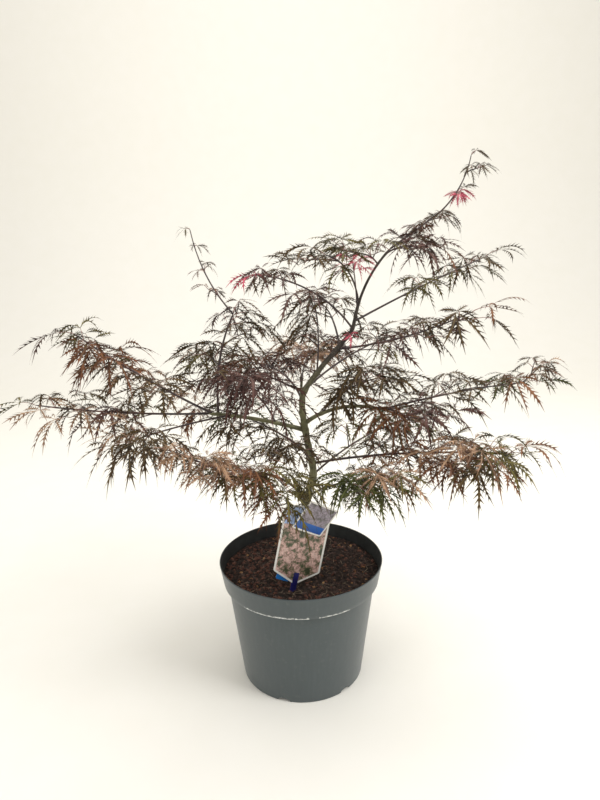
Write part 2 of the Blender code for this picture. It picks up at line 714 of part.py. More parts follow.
class Foliage:
    """Clothes one mass: twigs and leaves along its stems, each skipped where it would touch."""

    def __init__(self, mass, plant, space, mats):
        self.mass = mass
        self.name = mass.stem.name + "_foliage"
        self.plant = plant
        self.space = space
        self.mats = mats
        self.pieces = []

    def limbs(self):
        return (self.mass.stem, *self.mass.forks)

    def build(self):
        stem = self.mass.stem
        for limb in self.limbs():
            self.clothe(limb)
        points, faces = tube(self.plant.lines[stem.name], self.plant.radii[stem.name], STEM_SIDES)
        body = shell(self.name, points, faces, self.mats["twig"])
        apply_boolean(body, "DIFFERENCE", self.plant.envelope(stem.parent))
        group = bpy.data.collections.new(self.name + "_pieces")
        bpy.context.scene.collection.children.link(group)
        for i, (points, faces, mat) in enumerate(self.pieces):
            obj = shell(f"{self.name}_{i}", points, faces, mat)
            bpy.context.collection.objects.unlink(obj)
            group.objects.link(obj)
        apply_boolean(body, "UNION", group, "MANIFOLD")

    def clothe(self, limb):
        """Leaf pairs along a limb, with side twigs in the place of some leaves."""
        line = self.plant.lines[limb.name]
        own = self.plant.rows[limb.name]
        if limb is not self.mass.stem:
            points, faces = tube(self.sunk(line), self.plant.radii[limb.name], STEM_SIDES)
            self.pieces.append((points, faces, self.mats["twig"]))
        first = self.mass.first if limb is self.mass.stem else FORK_FIRST
        size = self.mass.size if limb is self.mass.stem else self.mass.tip_size
        spread = self.mass.spread if limb is self.mass.stem else self.mass.tip_spread
        count = max(1, round((1 - first) * limb.length / self.mass.spacing))
        tip_way = level(direction(line, 1.0))
        self.leaf_at(line[-1], tip_way, own, size, f"{limb.name} end", LOBES, STEM_TIP_HANG)
        for k in reversed(range(count)):
            share = first + (1 - first) * (k + 0.35) / count
            at = along(line, share)
            way = level(direction(line, share))
            for side in (-1, 1):
                seed = f"{limb.name} {k} {side}"
                if (k + (side > 0)) % 2 and share < END_SHARE:
                    length = spread * (1.15 - 0.6 * share)
                    self.twig_at(at, way, direction(line, share), side, length, own, size, seed)
                else:
                    self.leaf_at(at, turned(way, side * PAIR_TURN), own, size, seed, LOBES)

    def sunk(self, line):
        """A fork's line with its start drawn a little into its parent."""
        out = line.copy()
        out[0] -= 0.0008 * direction(line, 0.0)
        return out

    def twig_at(self, at, way, axis, side, length, own, size, seed):
        """A side twig with a leaf at its end and a smaller one on its way."""
        rng = random.Random(seed)
        length *= rng.uniform(0.8, 1.2)
        for attempt in range(TRIES):
            out = turned(way, side * (TWIG_TURN + rng.uniform(-TWIG_SWAY, TWIG_SWAY)))
            rise = rng.uniform(-0.25, 0.3)
            ahead = unit(out + np.array([0, 0, axis[2] * 0.4 + rise]))
            end = at + ahead * length
            middle = (at + end) / 2 + np.array([0, 0, 0.04 * length])
            if self.space.clear(self.name, [at, middle], [middle, end], own):
                rows = self.space.put(self.name, [at, middle], [middle, end], TWIG_RADII[:2])
                points, faces = tube(np.array([at, middle, end]), TWIG_RADII, TWIG_SIDES)
                self.pieces.append((points, faces, self.mats["twig"]))
                self.leaf_at(end, level(ahead), rows, 0.95 * size, seed + " end", LOBES, TWIG_TIP_HANG)
                out = turned(level(ahead), MIDDLE_TURN * side)
                self.leaf_at(middle, out, rows, 0.85 * size, seed + " middle", SMALL_LOBES)
                return

    def leaf_at(self, at, way, own, size, seed, lobes, hang=1.0):
        """A leaf in the first of a few attitudes in which it stands clear."""
        rng = random.Random(seed)
        length = LEAF_LENGTH * size * rng.uniform(0.88, 1.08)
        stalk = PETIOLE * size * rng.uniform(0.85, 1.2)
        for attempt in range(TRIES):
            out = turned(way, rng.uniform(-LEAF_SWAY, LEAF_SWAY))
            hub = at + unit(out + np.array([0, 0, rng.uniform(*HUB_RISE)])) * stalk
            droop = rng.uniform(*DROOP) * hang
            points, faces, ribs = leaf_shape(at, hub, out, droop, length, lobes)
            starts, ends = ribs
            if self.space.clear(self.name, starts, ends, own):
                self.space.put(self.name, starts, ends, [RIB_RADIUS] * len(starts))
                self.pieces.append((points, faces, self.mats["leaf"]))
                return


def build_limbs(plant, space, mat):
    """The trunk and the boughs."""
    build_trunk(plant, mat)
    for limb in BOUGHS:
        build_bough(plant, limb, mat)
    for name in ("trunk", *[limb.name for limb in BOUGHS]):
        line, radii = plant.lines[name], plant.radii[name]
        plant.rows[name] = space.put(name, line[:-1], line[1:], radii[:-1])


def build_foliage(plant, space, mats):
    """The masses. All their stems are laid out before the first leaf is."""
    for mass in MASSES:
        for limb in (mass.stem, *mass.forks):
            plant.grow(limb, STEM_STEPS)
            line, radii = plant.lines[limb.name], plant.radii[limb.name]
            rows = space.put(mass.stem.name + "_foliage", line[:-1], line[1:], radii[:-1])
            plant.rows[limb.name] = rows
            space.stem_rows += sorted(rows)
    for mass in MASSES:
        Foliage(mass, plant, space, mats).build()


# Labels


def plate_frame(turns):
    """The level-across, upward and outward directions of a plate that faced -Y before its turns."""
    about, lean, tilt = (math.radians(a) for a in turns)
    turn = Matrix.Rotation(about, 3, "Z") @ Matrix.Rotation(-lean, 3, "X") @ Matrix.Rotation(tilt, 3, "Y")
    return turn @ Vector((1, 0, 0)), turn @ Vector((0, 0, 1)), turn @ Vector((0, -1, 0))


def plate(name, outline, origin, frame, depth, mat, back=0.0):
    """A flat plate with the outline given across and up from its origin, set back by a distance."""
    across, up, out = frame
    at = Vector(origin) - out * back
    points = []
    for layer in (0, -depth):
        for x, z in outline:
            points.append(at + across * x + up * z + out * layer)
    n = len(outline)
    faces = [tuple(range(n)), tuple(range(n, 2 * n))[::-1]]
    faces += [(i, n + i, n + (i + 1) % n, (i + 1) % n) for i in range(n)]
    obj = add_solid(name, points, faces, mat)
    face_outwards(obj)
    return obj


def rounded(corners, radius, steps=3):
    """An outline with its corners rounded."""
    out = []
    n = len(corners)
    for i in range(n):
        here = Vector(corners[i])
        before = (Vector(corners[i - 1]) - here).normalized() * radius
        after = (Vector(corners[(i + 1) % n]) - here).normalized() * radius
        for k in range(steps + 1):
            t = k / steps
            out.append(tuple(here + before * (1 - t) ** 2 + after * t**2))
    return out


def build_labels(space, mats):
    """The picture label on its stake with the blank label behind. Returns the stake's slot."""
    frame = plate_frame(LABEL_TURNS)
    half = LABEL_SIZE[0] / 2
    outline = rounded(
        [(0, 0), (half, LABEL_POINT), (half, LABEL_SIZE[1]), (-half, LABEL_SIZE[1]), (-half, LABEL_POINT)],
        LABEL_CORNER,
    )
    plate("picture_label", outline, LABEL_TIP, frame, LABEL_THICKNESS, mats["label"])
    stake_back = LABEL_THICKNESS + GAP
    stake_outline = [(-STAKE_WIDTH / 2, -STAKE_BELOW), (STAKE_WIDTH / 2, -STAKE_BELOW)]
    stake_outline += [(STAKE_WIDTH / 2, STAKE_ABOVE), (-STAKE_WIDTH / 2, STAKE_ABOVE)]
    stake_outline.insert(1, (0, -STAKE_BELOW - STAKE_WIDTH))
    plate("label_stake", stake_outline, LABEL_TIP, frame, STAKE_THICKNESS, mats["stake"], stake_back)
    wide = [(x * (1 + 2 * GAP / abs(x)) if x else 0, z - 2 * GAP) for x, z in stake_outline]
    slot_depth = STAKE_THICKNESS + 2 * GAP
    slot = plate("stake_slot", wide, LABEL_TIP, frame, slot_depth, mats["stake"], stake_back - GAP)
    tilt = math.radians(BACK_LABEL_TILT - LABEL_TURNS[2])
    w, h = BACK_LABEL_SIZE[0] / 2, BACK_LABEL_SIZE[1] / 2
    corners = []
    for x, z in ((-w, -h), (w, -h), (w, h), (-w, h)):
        turned_x = x * math.cos(tilt) + z * math.sin(tilt)
        turned_z = z * math.cos(tilt) - x * math.sin(tilt)
        corners.append((BACK_LABEL_AT[0] + turned_x, BACK_LABEL_AT[1] + turned_z))
    back = stake_back + STAKE_THICKNESS + GAP
    outline = rounded(corners, LABEL_CORNER)
    plate("back_label", outline, LABEL_TIP, frame, LABEL_THICKNESS, mats["label"], back)
    space.put_plate("picture_label", LABEL_TIP, frame, (-half, 0), (half, LABEL_SIZE[1]))
    return slot


def build_tag(plant, space, mats):
    """The hang tag with its strap, which goes round the trunk."""
    frame = plate_frame(TAG_TURNS)
    w, h = TAG_SIZE[0] / 2, TAG_SIZE[1] / 2
    outline = rounded([(-w, -h), (w, -h), (w, h), (-w, h)], LABEL_CORNER)
    tag = plate("hang_tag", outline, TAG_CENTRE, frame, LABEL_THICKNESS, mats["label"])
    line = plant.lines["trunk"]
    height = SOIL_TOP + STRAP_HEIGHT
    centre = np.array([np.interp(height, line[:, 2], line[:, k]) for k in range(3)])
    radius = float(np.interp(height, line[:, 2], plant.radii["trunk"])) + GAP + TAG_STRAP / 2
    up, out = np.array(frame[1]), np.array(frame[2])
    hold = np.array(TAG_CENTRE) + up * (h - STRAP_INSET) - out * LABEL_THICKNESS / 2
    strap = strap_line(centre, radius, hold)
    points, faces = tube(strap, np.full(len(strap), TAG_STRAP / 2), 4)
    apply_boolean(tag, "UNION", shell("strap", points, faces, mats["label"]))
    space.put_plate("hang_tag", TAG_CENTRE, frame, (-w, -h), (w, h))
    space.put("hang_tag", strap[:-1], strap[1:], [TAG_STRAP / 2] * (len(strap) - 1))


def strap_line(centre, radius, hold):
    """A loop from the tag's hole, round the back of the trunk and back beside where it began."""
    away = level(hold - centre)
    side = np.array([-away[1], away[0], 0])
    between = (hold + centre + away * radius * 2) / 2
    spread = side * radius * 0.9
    line = [hold + side * STRAP_PAIR, between + spread]
    for degrees in np.linspace(STRAP_WRAP, 360 - STRAP_WRAP, STRAP_STEPS):
        angle = math.radians(degrees)
        line.append(centre + radius * STRAP_SLACK * (math.cos(angle) * away + math.sin(angle) * side))
    return np.array([*line, between - spread, hold - side * STRAP_PAIR])


def main():
    clear_scene()
    mats = {
        "pot": material("moulded_polypropylene", "#566062", 0.42),
        "soil": material("potting_mix", "#3a2a24", 0.95),
        "bark": material("young_bark", "#6b6a48", 0.7),
        "twig": material("purple_twig", "#3a2e2c", 0.6),
        "leaf": material("bronze_leaf", "#5a4340", 0.6),
        "label": material("printed_label", "#d8d6d2", 0.35),
        "stake": material("blue_stake", "#20206a", 0.4),
    }
    plant = Plant()
    space = Space()
    build_pot(mats["pot"])
    build_soil(mats["soil"], build_labels(space, mats))
    build_limbs(plant, space, mats["bark"])
    build_tag(plant, space, mats)
    build_foliage(plant, space, mats)


main()
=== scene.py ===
"""Dresses a laceleaf japanese maple in a nursery pot: leaves, twigs, bark, potting mix and labels.

The origin is the centre of the pot's flat underside, +Z is up and the labels face -Y. The limbs and
the foliage follow the same named limbs and the same seeded rule as the solids that they replace. Here
the rule is carried on to finer leaves, and each leaf gets its toothed, arching lobes.
"""

from __future__ import annotations

import json
import logging
import math
import random
from collections.abc import Callable, Sequence
from dataclasses import dataclass, field, replace
from enum import Enum
from functools import partial

import bmesh
import bpy
import numpy as np
from mathutils import Matrix, Vector, noise

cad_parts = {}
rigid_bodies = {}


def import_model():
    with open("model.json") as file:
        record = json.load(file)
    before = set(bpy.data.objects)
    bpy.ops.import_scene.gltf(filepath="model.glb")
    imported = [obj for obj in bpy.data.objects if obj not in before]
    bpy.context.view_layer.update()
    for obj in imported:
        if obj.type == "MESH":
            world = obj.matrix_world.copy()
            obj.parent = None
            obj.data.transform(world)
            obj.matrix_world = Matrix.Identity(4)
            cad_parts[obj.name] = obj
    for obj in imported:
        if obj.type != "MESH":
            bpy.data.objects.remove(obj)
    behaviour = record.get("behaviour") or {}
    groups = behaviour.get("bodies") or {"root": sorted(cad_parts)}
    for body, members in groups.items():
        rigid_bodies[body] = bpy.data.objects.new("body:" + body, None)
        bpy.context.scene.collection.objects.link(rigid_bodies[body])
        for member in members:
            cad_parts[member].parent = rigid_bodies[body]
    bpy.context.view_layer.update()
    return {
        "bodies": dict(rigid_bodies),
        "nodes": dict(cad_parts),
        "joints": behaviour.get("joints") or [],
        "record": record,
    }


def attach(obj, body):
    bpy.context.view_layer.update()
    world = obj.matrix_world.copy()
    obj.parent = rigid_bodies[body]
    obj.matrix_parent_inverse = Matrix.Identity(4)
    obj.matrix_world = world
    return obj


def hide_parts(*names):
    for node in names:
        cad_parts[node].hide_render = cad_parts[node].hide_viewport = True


Array = np.ndarray
Material = bpy.types.Material
Piece = bpy.types.Object
Place = tuple[float, float, float]
Rings = list[tuple[float, float]]

LOG = logging.getLogger("laceleaf_maple")
GAP = 0.0003
SOIL_TOP = 0.197
MIX_COLOUR_OUTPUT = 2
CARD_UNIT = 0.1  # metres to one unit of a card's UV map


# Colours and shader nodes


def linear(colour: str) -> tuple[float, float, float, float]:
    """Turns an sRGB hex colour to the linear values that a shader takes.

    Args:
        colour: The colour, such as "#6b6a48".

    Returns:
        Red, green, blue and alpha.
    """
    parts = [int(colour[i : i + 2], 16) / 255 for i in (1, 3, 5)]
    red, green, blue = [c / 12.92 if c <= 0.04045 else ((c + 0.055) / 1.055) ** 2.4 for c in parts]
    return red, green, blue, 1.0


def feed(node: bpy.types.Node, inputs: dict | tuple) -> bpy.types.Node:
    """Sets a node's inputs to values, or links them.

    Args:
        node: The node.
        inputs: What each named input, or each input in order, is given: a value, an output socket, or a
            node whose main output is linked.

    Returns:
        The same node.
    """
    for key, value in inputs.items() if isinstance(inputs, dict) else enumerate(inputs):
        if isinstance(value, bpy.types.Node):
            value = value.outputs[MIX_COLOUR_OUTPUT if value.bl_idname == "ShaderNodeMix" else 0]
        if isinstance(value, bpy.types.NodeSocket):
            node.id_data.links.new(value, node.inputs[key])
        else:
            node.inputs[key].default_value = value
    return node


def add_node(tree: bpy.types.NodeTree, kind: str, inputs: dict | tuple = (), **settings) -> bpy.types.Node:
    """Adds a shader node with its settings, values and links.

    Args:
        tree: The material's node tree.
        kind: The node's type, without its "ShaderNode" beginning.
        inputs: Its inputs, as feed takes them.
        settings: The node's own properties.

    Returns:
        The new node.
    """
    node = tree.nodes.new("ShaderNode" + kind)
    for key, value in settings.items():
        setattr(node, key, value)
    return feed(node, inputs)


def set_stops(ramp: bpy.types.Node, stops: Sequence[tuple[float, str]]) -> bpy.types.Node:
    """Gives a colour ramp its stops.

    Args:
        ramp: The ColorRamp node.
        stops: Position and hex colour of each stop, in order.

    Returns:
        The same node.
    """
    elements = ramp.color_ramp.elements
    while len(elements) < len(stops):
        elements.new(0.5)
    for element, (place, colour) in zip(elements, stops):
        element.position = place
        element.color = linear(colour)
    return ramp


def new_material(name: str) -> tuple[Material, Callable[..., bpy.types.Node], bpy.types.Node]:
    """Makes an empty Principled material.

    Args:
        name: The material's name.

    Returns:
        The material, add_node for its tree, and its shader.
    """
    material = bpy.data.materials.new(name)
    material.use_nodes = True
    return material, partial(add_node, material.node_tree), material.node_tree.nodes["Principled BSDF"]


def per_mm(size: float) -> float:
    """Gives the noise scale whose patches measure size millimetres."""
    return 1000.0 / size


class LeafTint(Enum):
    """The leaf colours that a laceleaf maple shows together in late summer; the pale pink-brown is partly a
    painted highlight.
    """

    BRONZE = 0
    PURPLE = 1
    RED_BROWN = 2
    # pale pink-brown: a leaf colour that also stands in for light on the leaves, partly a painted highlight
    PINK_BROWN = 3
    OLIVE = 4
    DEEP_GREEN = 5
    YELLOW_GREEN = 6
    CRIMSON = 7


@dataclass(frozen=True)
class LeafFinish:
    """A thin, faintly waxy leaf blade: matt with a soft sheen, paler along its rib."""

    name: str
    shade: str
    body: str
    light: str
    rib: str
    tip: str

    def build(self) -> Material:
        """Builds the leaf material from the lobes' own UV map and Object coordinates.

        Returns:
            The material.
        """
        material, add, shader = new_material(self.name)
        place = add("TexCoord").outputs
        blade = add("SeparateXYZ", {"Vector": place["UV"]}).outputs
        patches = add("TexNoise", {"Vector": place["Object"], "Scale": per_mm(17), "Detail": 3.0})
        ramp = set_stops(
            add("ValToRGB", {"Fac": patches}), [(0.36, self.shade), (0.5, self.body), (0.64, self.light)]
        )
        out = add("Math", (blade["X"],), operation="ABSOLUTE")
        near_rib = add("MapRange", (out, 0.03, 0.22, 0.55, 0.0))
        with_rib = add("Mix", {"Factor": near_rib, 6: ramp, 7: linear(self.rib)}, data_type="RGBA")
        far = add("MapRange", (blade["Y"], 0.55, 1.0, 0.0, 0.7))
        with_tip = add("Mix", {"Factor": far, 6: with_rib, 7: linear(self.tip)}, data_type="RGBA")
        grain = add("TexNoise", {"Vector": place["Object"], "Scale": per_mm(2.2), "Detail": 4.0})
        matt = add("MapRange", (grain, 0.0, 1.0, 0.42, 0.66))
        relief = add("Bump", {"Height": grain, "Strength": 0.25, "Distance": 0.0004})
        feed(
            shader,
            {
                "Base Color": with_tip, "Roughness": matt, "Normal": relief, "IOR": 1.45,
                "Specular IOR Level": 0.22,
            },
        )
        return material


LEAF_FINISHES = {
    LeafTint.BRONZE: LeafFinish("bronze_leaf", "#1a130b", "#322515", "#59472d", "#6e5c3b", "#462f1c"),
    LeafTint.PURPLE: LeafFinish("purple_leaf", "#1f1311", "#3a2522", "#624740", "#74594f", "#502d29"),
    LeafTint.RED_BROWN: LeafFinish("red_brown_leaf", "#2d180f", "#4f2f1f", "#7b4e33", "#886544", "#603221"),
    # the pale pink-brown leaf is partly a painted highlight, a paler, pinker copy of the red-brown
    LeafTint.PINK_BROWN: LeafFinish("pink_brown_leaf", "#483427", "#755742", "#ac8a6d", "#b79b7c", "#794e3a"),
    LeafTint.OLIVE: LeafFinish("olive_leaf", "#1f1b0c", "#3a3318", "#62582b", "#786f3e", "#4a371d"),
    LeafTint.DEEP_GREEN: LeafFinish("deep_green_leaf", "#161a0b", "#2b3014", "#4d5125", "#676c38", "#3b3319"),
    LeafTint.YELLOW_GREEN: LeafFinish(
        "yellow_green_leaf", "#44431a", "#6a6529", "#938941", "#a0974f", "#765c2d"
    ),
    LeafTint.CRIMSON: LeafFinish("crimson_leaf", "#70162c", "#a62a46", "#cc5268", "#d8808a", "#94243e"),
}


@dataclass(frozen=True)
class ShootFinish:
    """The smooth skin of a one-year shoot, with pale breathing pores."""

    name: str
    dark: str
    body: str
    pore: str

    def build(self) -> Material:
        """Builds the shoot material on Object coordinates.

        Returns:
            The material.
        """
        material, add, shader = new_material(self.name)
        place = add("TexCoord").outputs
        tone = add("TexNoise", {"Vector": place["Object"], "Scale": per_mm(18), "Detail": 3.0})
        ramp = set_stops(add("ValToRGB", {"Fac": tone}), [(0.35, self.dark), (0.65, self.body)])
        pores = add("TexVoronoi", {"Vector": place["Object"], "Scale": per_mm(2.6)})
        spot = add("MapRange", (pores, 0.10, 0.22, 0.8, 0.0))
        mixed = add("Mix", {"Factor": spot, 6: ramp, 7: linear(self.pore)}, data_type="RGBA")
        relief = add("Bump", {"Height": spot, "Strength": 0.4, "Distance": 0.0003})
        feed(shader, {"Base Color": mixed, "Normal": relief, "Roughness": 0.48})
        return material


@dataclass(frozen=True)
class BarkFinish:
    """Young maple bark: olive green with fine long streaks, browner and darker up the trunk."""

    name: str = "young_maple_bark"
    low: str = "#7c7955"
    low_shade: str = "#4d4b34"
    high: str = "#40372e"
    high_shade: str = "#251f1b"
    pore: str = "#8d876a"
    low_height: float = 0.48
    high_height: float = 0.575

    def build(self) -> Material:
        """Builds the bark from Object coordinates and the limb's own UV map.

        Returns:
            The material.
        """
        material, add, shader = new_material(self.name)
        place = add("TexCoord").outputs
        height = add("SeparateXYZ", {"Vector": place["Object"]}).outputs
        # streaks: 0.8 mm across the limb and 14 mm along it
        stretch = add("Mapping", {"Vector": place["UV"], "Scale": (per_mm(0.8), per_mm(14), 1.0)})
        streaks = add("TexNoise", {"Vector": stretch, "Scale": 1.0, "Detail": 4.0, "Roughness": 0.6})
        patches = add("TexNoise", {"Vector": place["Object"], "Scale": per_mm(12), "Detail": 4.0})
        both = add("Math", (streaks, patches), operation="ADD")
        tone = add("MapRange", (both, 0.75, 1.25))
        low = set_stops(add("ValToRGB", {"Fac": tone}), [(0.1, self.low_shade), (0.75, self.low)])
        high = set_stops(add("ValToRGB", {"Fac": tone}), [(0.1, self.high_shade), (0.75, self.high)])
        rise = add("MapRange", (height["Z"], self.low_height, self.high_height))
        body = add("Mix", {"Factor": rise, 6: low, 7: high}, data_type="RGBA")
        pores = add("TexVoronoi", {"Vector": place["Object"], "Scale": per_mm(3.4)})
        spot = add("MapRange", (pores, 0.10, 0.20, 0.7, 0.0))
        mixed = add("Mix", {"Factor": spot, 6: body, 7: linear(self.pore)}, data_type="RGBA")
        rough = add("MapRange", (tone, 0.0, 1.0, 0.72, 0.5))
        relief = add("Bump", {"Height": streaks, "Strength": 0.5, "Distance": 0.0005})
        feed(shader, {"Base Color": mixed, "Roughness": rough, "Normal": relief})
        return material


@dataclass(frozen=True)
class PotFinish:
    """Injection-moulded grey polypropylene: satin, faintly streaked by the flow, scuffed at its band."""

    name: str = "moulded_grey_polypropylene"
    body: str = "#434c4e"
    shade: str = "#3f484a"
    dust: str = "#8c8f88"
    scuff: str = "#e2e4e1"
    band_foot: float = 0.177
    scuff_ranges: tuple[tuple[float, float], ...] = ((-43.0, 5.0), (11.5, 35.0))

    def build(self) -> Material:
        """Builds the pot's material on Object coordinates.

        Returns:
            The material.
        """
        material, add, shader = new_material(self.name)
        place = add("TexCoord").outputs
        at = add("SeparateXYZ", {"Vector": place["Object"]}).outputs
        front = add("Math", (at["Y"], -1.0), operation="MULTIPLY")
        angle = add("Math", (at["X"], front), operation="ARCTAN2")
        # flow streaks: 5 mm round the pot and 120 mm down it
        stretch = add("Mapping", {"Vector": place["Object"], "Scale": (per_mm(5), per_mm(5), per_mm(120))})
        flow = add("TexNoise", {"Vector": stretch, "Scale": 1.0, "Detail": 3.0})
        base = set_stops(add("ValToRGB", {"Fac": flow}), [(0.3, self.shade), (0.7, self.body)])
        dirt = add("TexNoise", {"Vector": place["Object"], "Scale": per_mm(9), "Detail": 6.0})
        dusty = add("MapRange", (dirt, 0.58, 0.78, 0.0, 0.1))
        dusted = add("Mix", {"Factor": dusty, 6: base, 7: linear(self.dust)}, data_type="RGBA")
        line = self.scuff_mask(add, place, at, angle)
        scuffed = add("Mix", {"Factor": line, 6: dusted, 7: linear(self.scuff)}, data_type="RGBA")
        rough = add("MapRange", (dirt, 0.0, 1.0, 0.34, 0.52))
        skin = add("TexNoise", {"Vector": place["Object"], "Scale": per_mm(1.2), "Detail": 2.0})
        relief = add("Bump", {"Height": skin, "Strength": 0.08, "Distance": 0.0002})
        feed(
            shader,
            {
                "Base Color": scuffed, "Roughness": rough, "Normal": relief, "IOR": 1.49,
                "Sheen Weight": 0.22, "Sheen Roughness": 0.45,
            },
        )
        return material

    def scuff_mask(
        self, add: Callable[..., bpy.types.Node], place: bpy.types.NodeOutputs, at: bpy.types.NodeOutputs,
        angle: bpy.types.Node,
    ) -> bpy.types.Node:
        """Draws the pale rub mark along the band's lower edge.

        Args:
            add: Adds a node to the material's tree.
            place: The texture coordinates.
            at: The Object coordinates, separated.
            angle: The heading round the pot from its front, in radians.

        Returns:
            A node that gives the mark's strength.
        """
        ragged = add("TexNoise", {"Vector": place["Object"], "Scale": per_mm(5), "Detail": 6.0})
        wave = add("MapRange", (ragged, 0.0, 1.0, -0.0042, 0.0042))
        level = add("Math", (at["Z"], wave), operation="ADD")
        off = add("Math", (level, self.band_foot - 0.0002), operation="SUBTRACT")
        away = add("Math", (off,), operation="ABSOLUTE")
        near = add("MapRange", (away, 0.0016, 0.0032, 1.0, 0.0))
        spans = None
        for low, high in self.scuff_ranges:
            after = add("Math", (angle, math.radians(low)), operation="GREATER_THAN")
            before = add("Math", (angle, math.radians(high)), operation="LESS_THAN")
            span = add("Math", (after, before), operation="MULTIPLY")
            spans = span if spans is None else add("Math", (spans, span), operation="ADD")
        fine = add("TexNoise", {"Vector": place["Object"], "Scale": per_mm(2.5), "Detail": 5.0})
        broken = add("MapRange", (fine, 0.34, 0.5, 0.0, 0.95))
        masked = add("Math", (near, spans), operation="MULTIPLY")
        return add("Math", (masked, broken), operation="MULTIPLY")


@dataclass(frozen=True)
class CrumbFinish:
    """A damp, fibrous crumb of the potting mix: bark, peat or wood, dull all over."""

    name: str
    dark: str
    body: str
    light: str
    roughness: float = 0.9

    def build(self) -> Material:
        """Builds the crumb's material on Object coordinates.

        Returns:
            The material.
        """
        material, add, shader = new_material(self.name)
        place = add("TexCoord").outputs
        tone = add("TexNoise", {"Vector": place["Object"], "Scale": per_mm(7), "Detail": 6.0})
        ramp = set_stops(
            add("ValToRGB", {"Fac": tone}), [(0.32, self.dark), (0.5, self.body), (0.7, self.light)]
        )
        grain = add("TexNoise", {"Vector": place["Object"], "Scale": per_mm(1.1), "Detail": 5.0})
        relief = add("Bump", {"Height": grain, "Strength": 0.7, "Distance": 0.0008})
        feed(
            shader,
            {"Base Color": ramp, "Normal": relief, "Roughness": self.roughness, "Specular IOR Level": 0.3},
        )
        return material


@dataclass(frozen=True)
class PrintFinish:
    """A printed plastic card: white edge, a soft picture of foliage in blotches, and a blank band.

    The card's UV map runs across and up in units of CARD_UNIT, and so do the band's heights and the margin.
    """

    name: str
    blotches: tuple[tuple[float, str], ...]
    band: tuple[str, str]
    band_low: float
    band_high: float
    card: Card
    margin: float = 0.0
    edge: str = "#e6e4de"

    def build(self) -> Material:
        """Builds the printed card's material on its own UV map.

        Returns:
            The material.
        """
        material, add, shader = new_material(self.name)
        place = add("TexCoord").outputs
        at = add("SeparateXYZ", {"Vector": place["UV"]}).outputs
        # feathery blotches of 16.7 mm, with marks of 2.4 mm across them
        warp = add(
            "TexNoise",
            {
                "Vector": place["UV"], "Scale": CARD_UNIT * per_mm(16.7), "Detail": 8.0, "Distortion": 0.3,
                "Roughness": 0.74,
            },
        )
        picture = set_stops(add("ValToRGB", {"Fac": warp}), self.blotches)
        streak = add(
            "TexNoise",
            {"Vector": place["UV"], "Scale": CARD_UNIT * per_mm(2.4), "Detail": 6.0, "Distortion": 1.2},
        )
        contrast = add("MapRange", (streak, 0.32, 0.68, 0.66, 1.25))
        lit = add("VectorMath", {0: picture, "Scale": contrast}, operation="SCALE")
        fade = add("MapRange", (at["Y"], self.band_low, self.band_high))
        band = set_stops(add("ValToRGB", {"Fac": fade}), [(0.0, self.band[0]), (1.0, self.band[1])])
        above = add("Math", (at["Y"], self.band_low), operation="GREATER_THAN")
        below = add("Math", (at["Y"], self.band_high), operation="LESS_THAN")
        inside = add("Math", (above, below), operation="MULTIPLY")
        printed = add("Mix", {"Factor": inside, 6: lit, 7: band}, data_type="RGBA")
        rim = self.rim_mask(add, at)
        whole = add("Mix", {"Factor": rim, 6: printed, 7: linear(self.edge)}, data_type="RGBA")
        wear = add("TexNoise", {"Vector": place["UV"], "Scale": CARD_UNIT * per_mm(33), "Detail": 2.0})
        relief = add("Bump", {"Height": wear, "Strength": 0.15, "Distance": 0.001})
        feed(shader, {"Base Color": whole, "Roughness": 0.3, "IOR": 1.5, "Normal": relief})
        return material

    def rim_mask(self, add: Callable[..., bpy.types.Node], at: bpy.types.NodeOutputs) -> bpy.types.Node:
        """Marks the card's unprinted edge.

        Args:
            add: Adds a node to the material's tree.
            at: The card's coordinates, separated.

        Returns:
            A node that gives 1 on the edge.
        """
        half_width, high = (value / CARD_UNIT for value in self.card.high)
        across = add("Math", (at["X"],), operation="ABSOLUTE")
        side = add("Math", (across, half_width - self.margin), operation="GREATER_THAN")
        top = add("Math", (at["Y"], high - self.margin), operation="GREATER_THAN")
        slope = self.card.point / CARD_UNIT / half_width
        foot = add(
            "Math",
            (across, slope, self.card.low[1] / CARD_UNIT + self.margin * 1.15),
            operation="MULTIPLY_ADD",
        )
        under = add("Math", (at["Y"], foot), operation="LESS_THAN")
        pair = add("Math", (side, top), operation="MAXIMUM")
        return add("Math", (pair, under), operation="MAXIMUM")


@dataclass(frozen=True)
class PlasticFinish:
    """Plain dyed plastic, glossy, with fine handling marks."""

    name: str
    body: str
    shade: str
    roughness: float = 0.3

    def build(self) -> Material:
        """Builds the plastic's material on Object coordinates.

        Returns:
            The material.
        """
        material, add, shader = new_material(self.name)
        place = add("TexCoord").outputs
        tone = add("TexNoise", {"Vector": place["Object"], "Scale": per_mm(14), "Detail": 4.0})
        ramp = set_stops(add("ValToRGB", {"Fac": tone}), [(0.35, self.shade), (0.65, self.body)])
        marks = add("TexNoise", {"Vector": place["Object"], "Scale": per_mm(1.5), "Detail": 4.0})
        rough = add("MapRange", (marks, 0.0, 1.0, self.roughness, self.roughness + 0.2))
        feed(shader, {"Base Color": ramp, "Roughness": rough})
        return material


# The plant's named limbs and the rule that clothes them


@dataclass(frozen=True)
class Limb:
    """A tapering limb: it leaves its parent at a share of the parent's length, and bends evenly."""

    name: str
    parent: str
    at: float
    heading: float  # degrees from +X, seen from above
    rise: float  # degrees above level
    length: float
    turn: float  # change of heading by the tip
    lift: float  # change of rise by the tip
    foot: float  # diameter
    tip: float


Tints = tuple[tuple[LeafTint, float], ...]

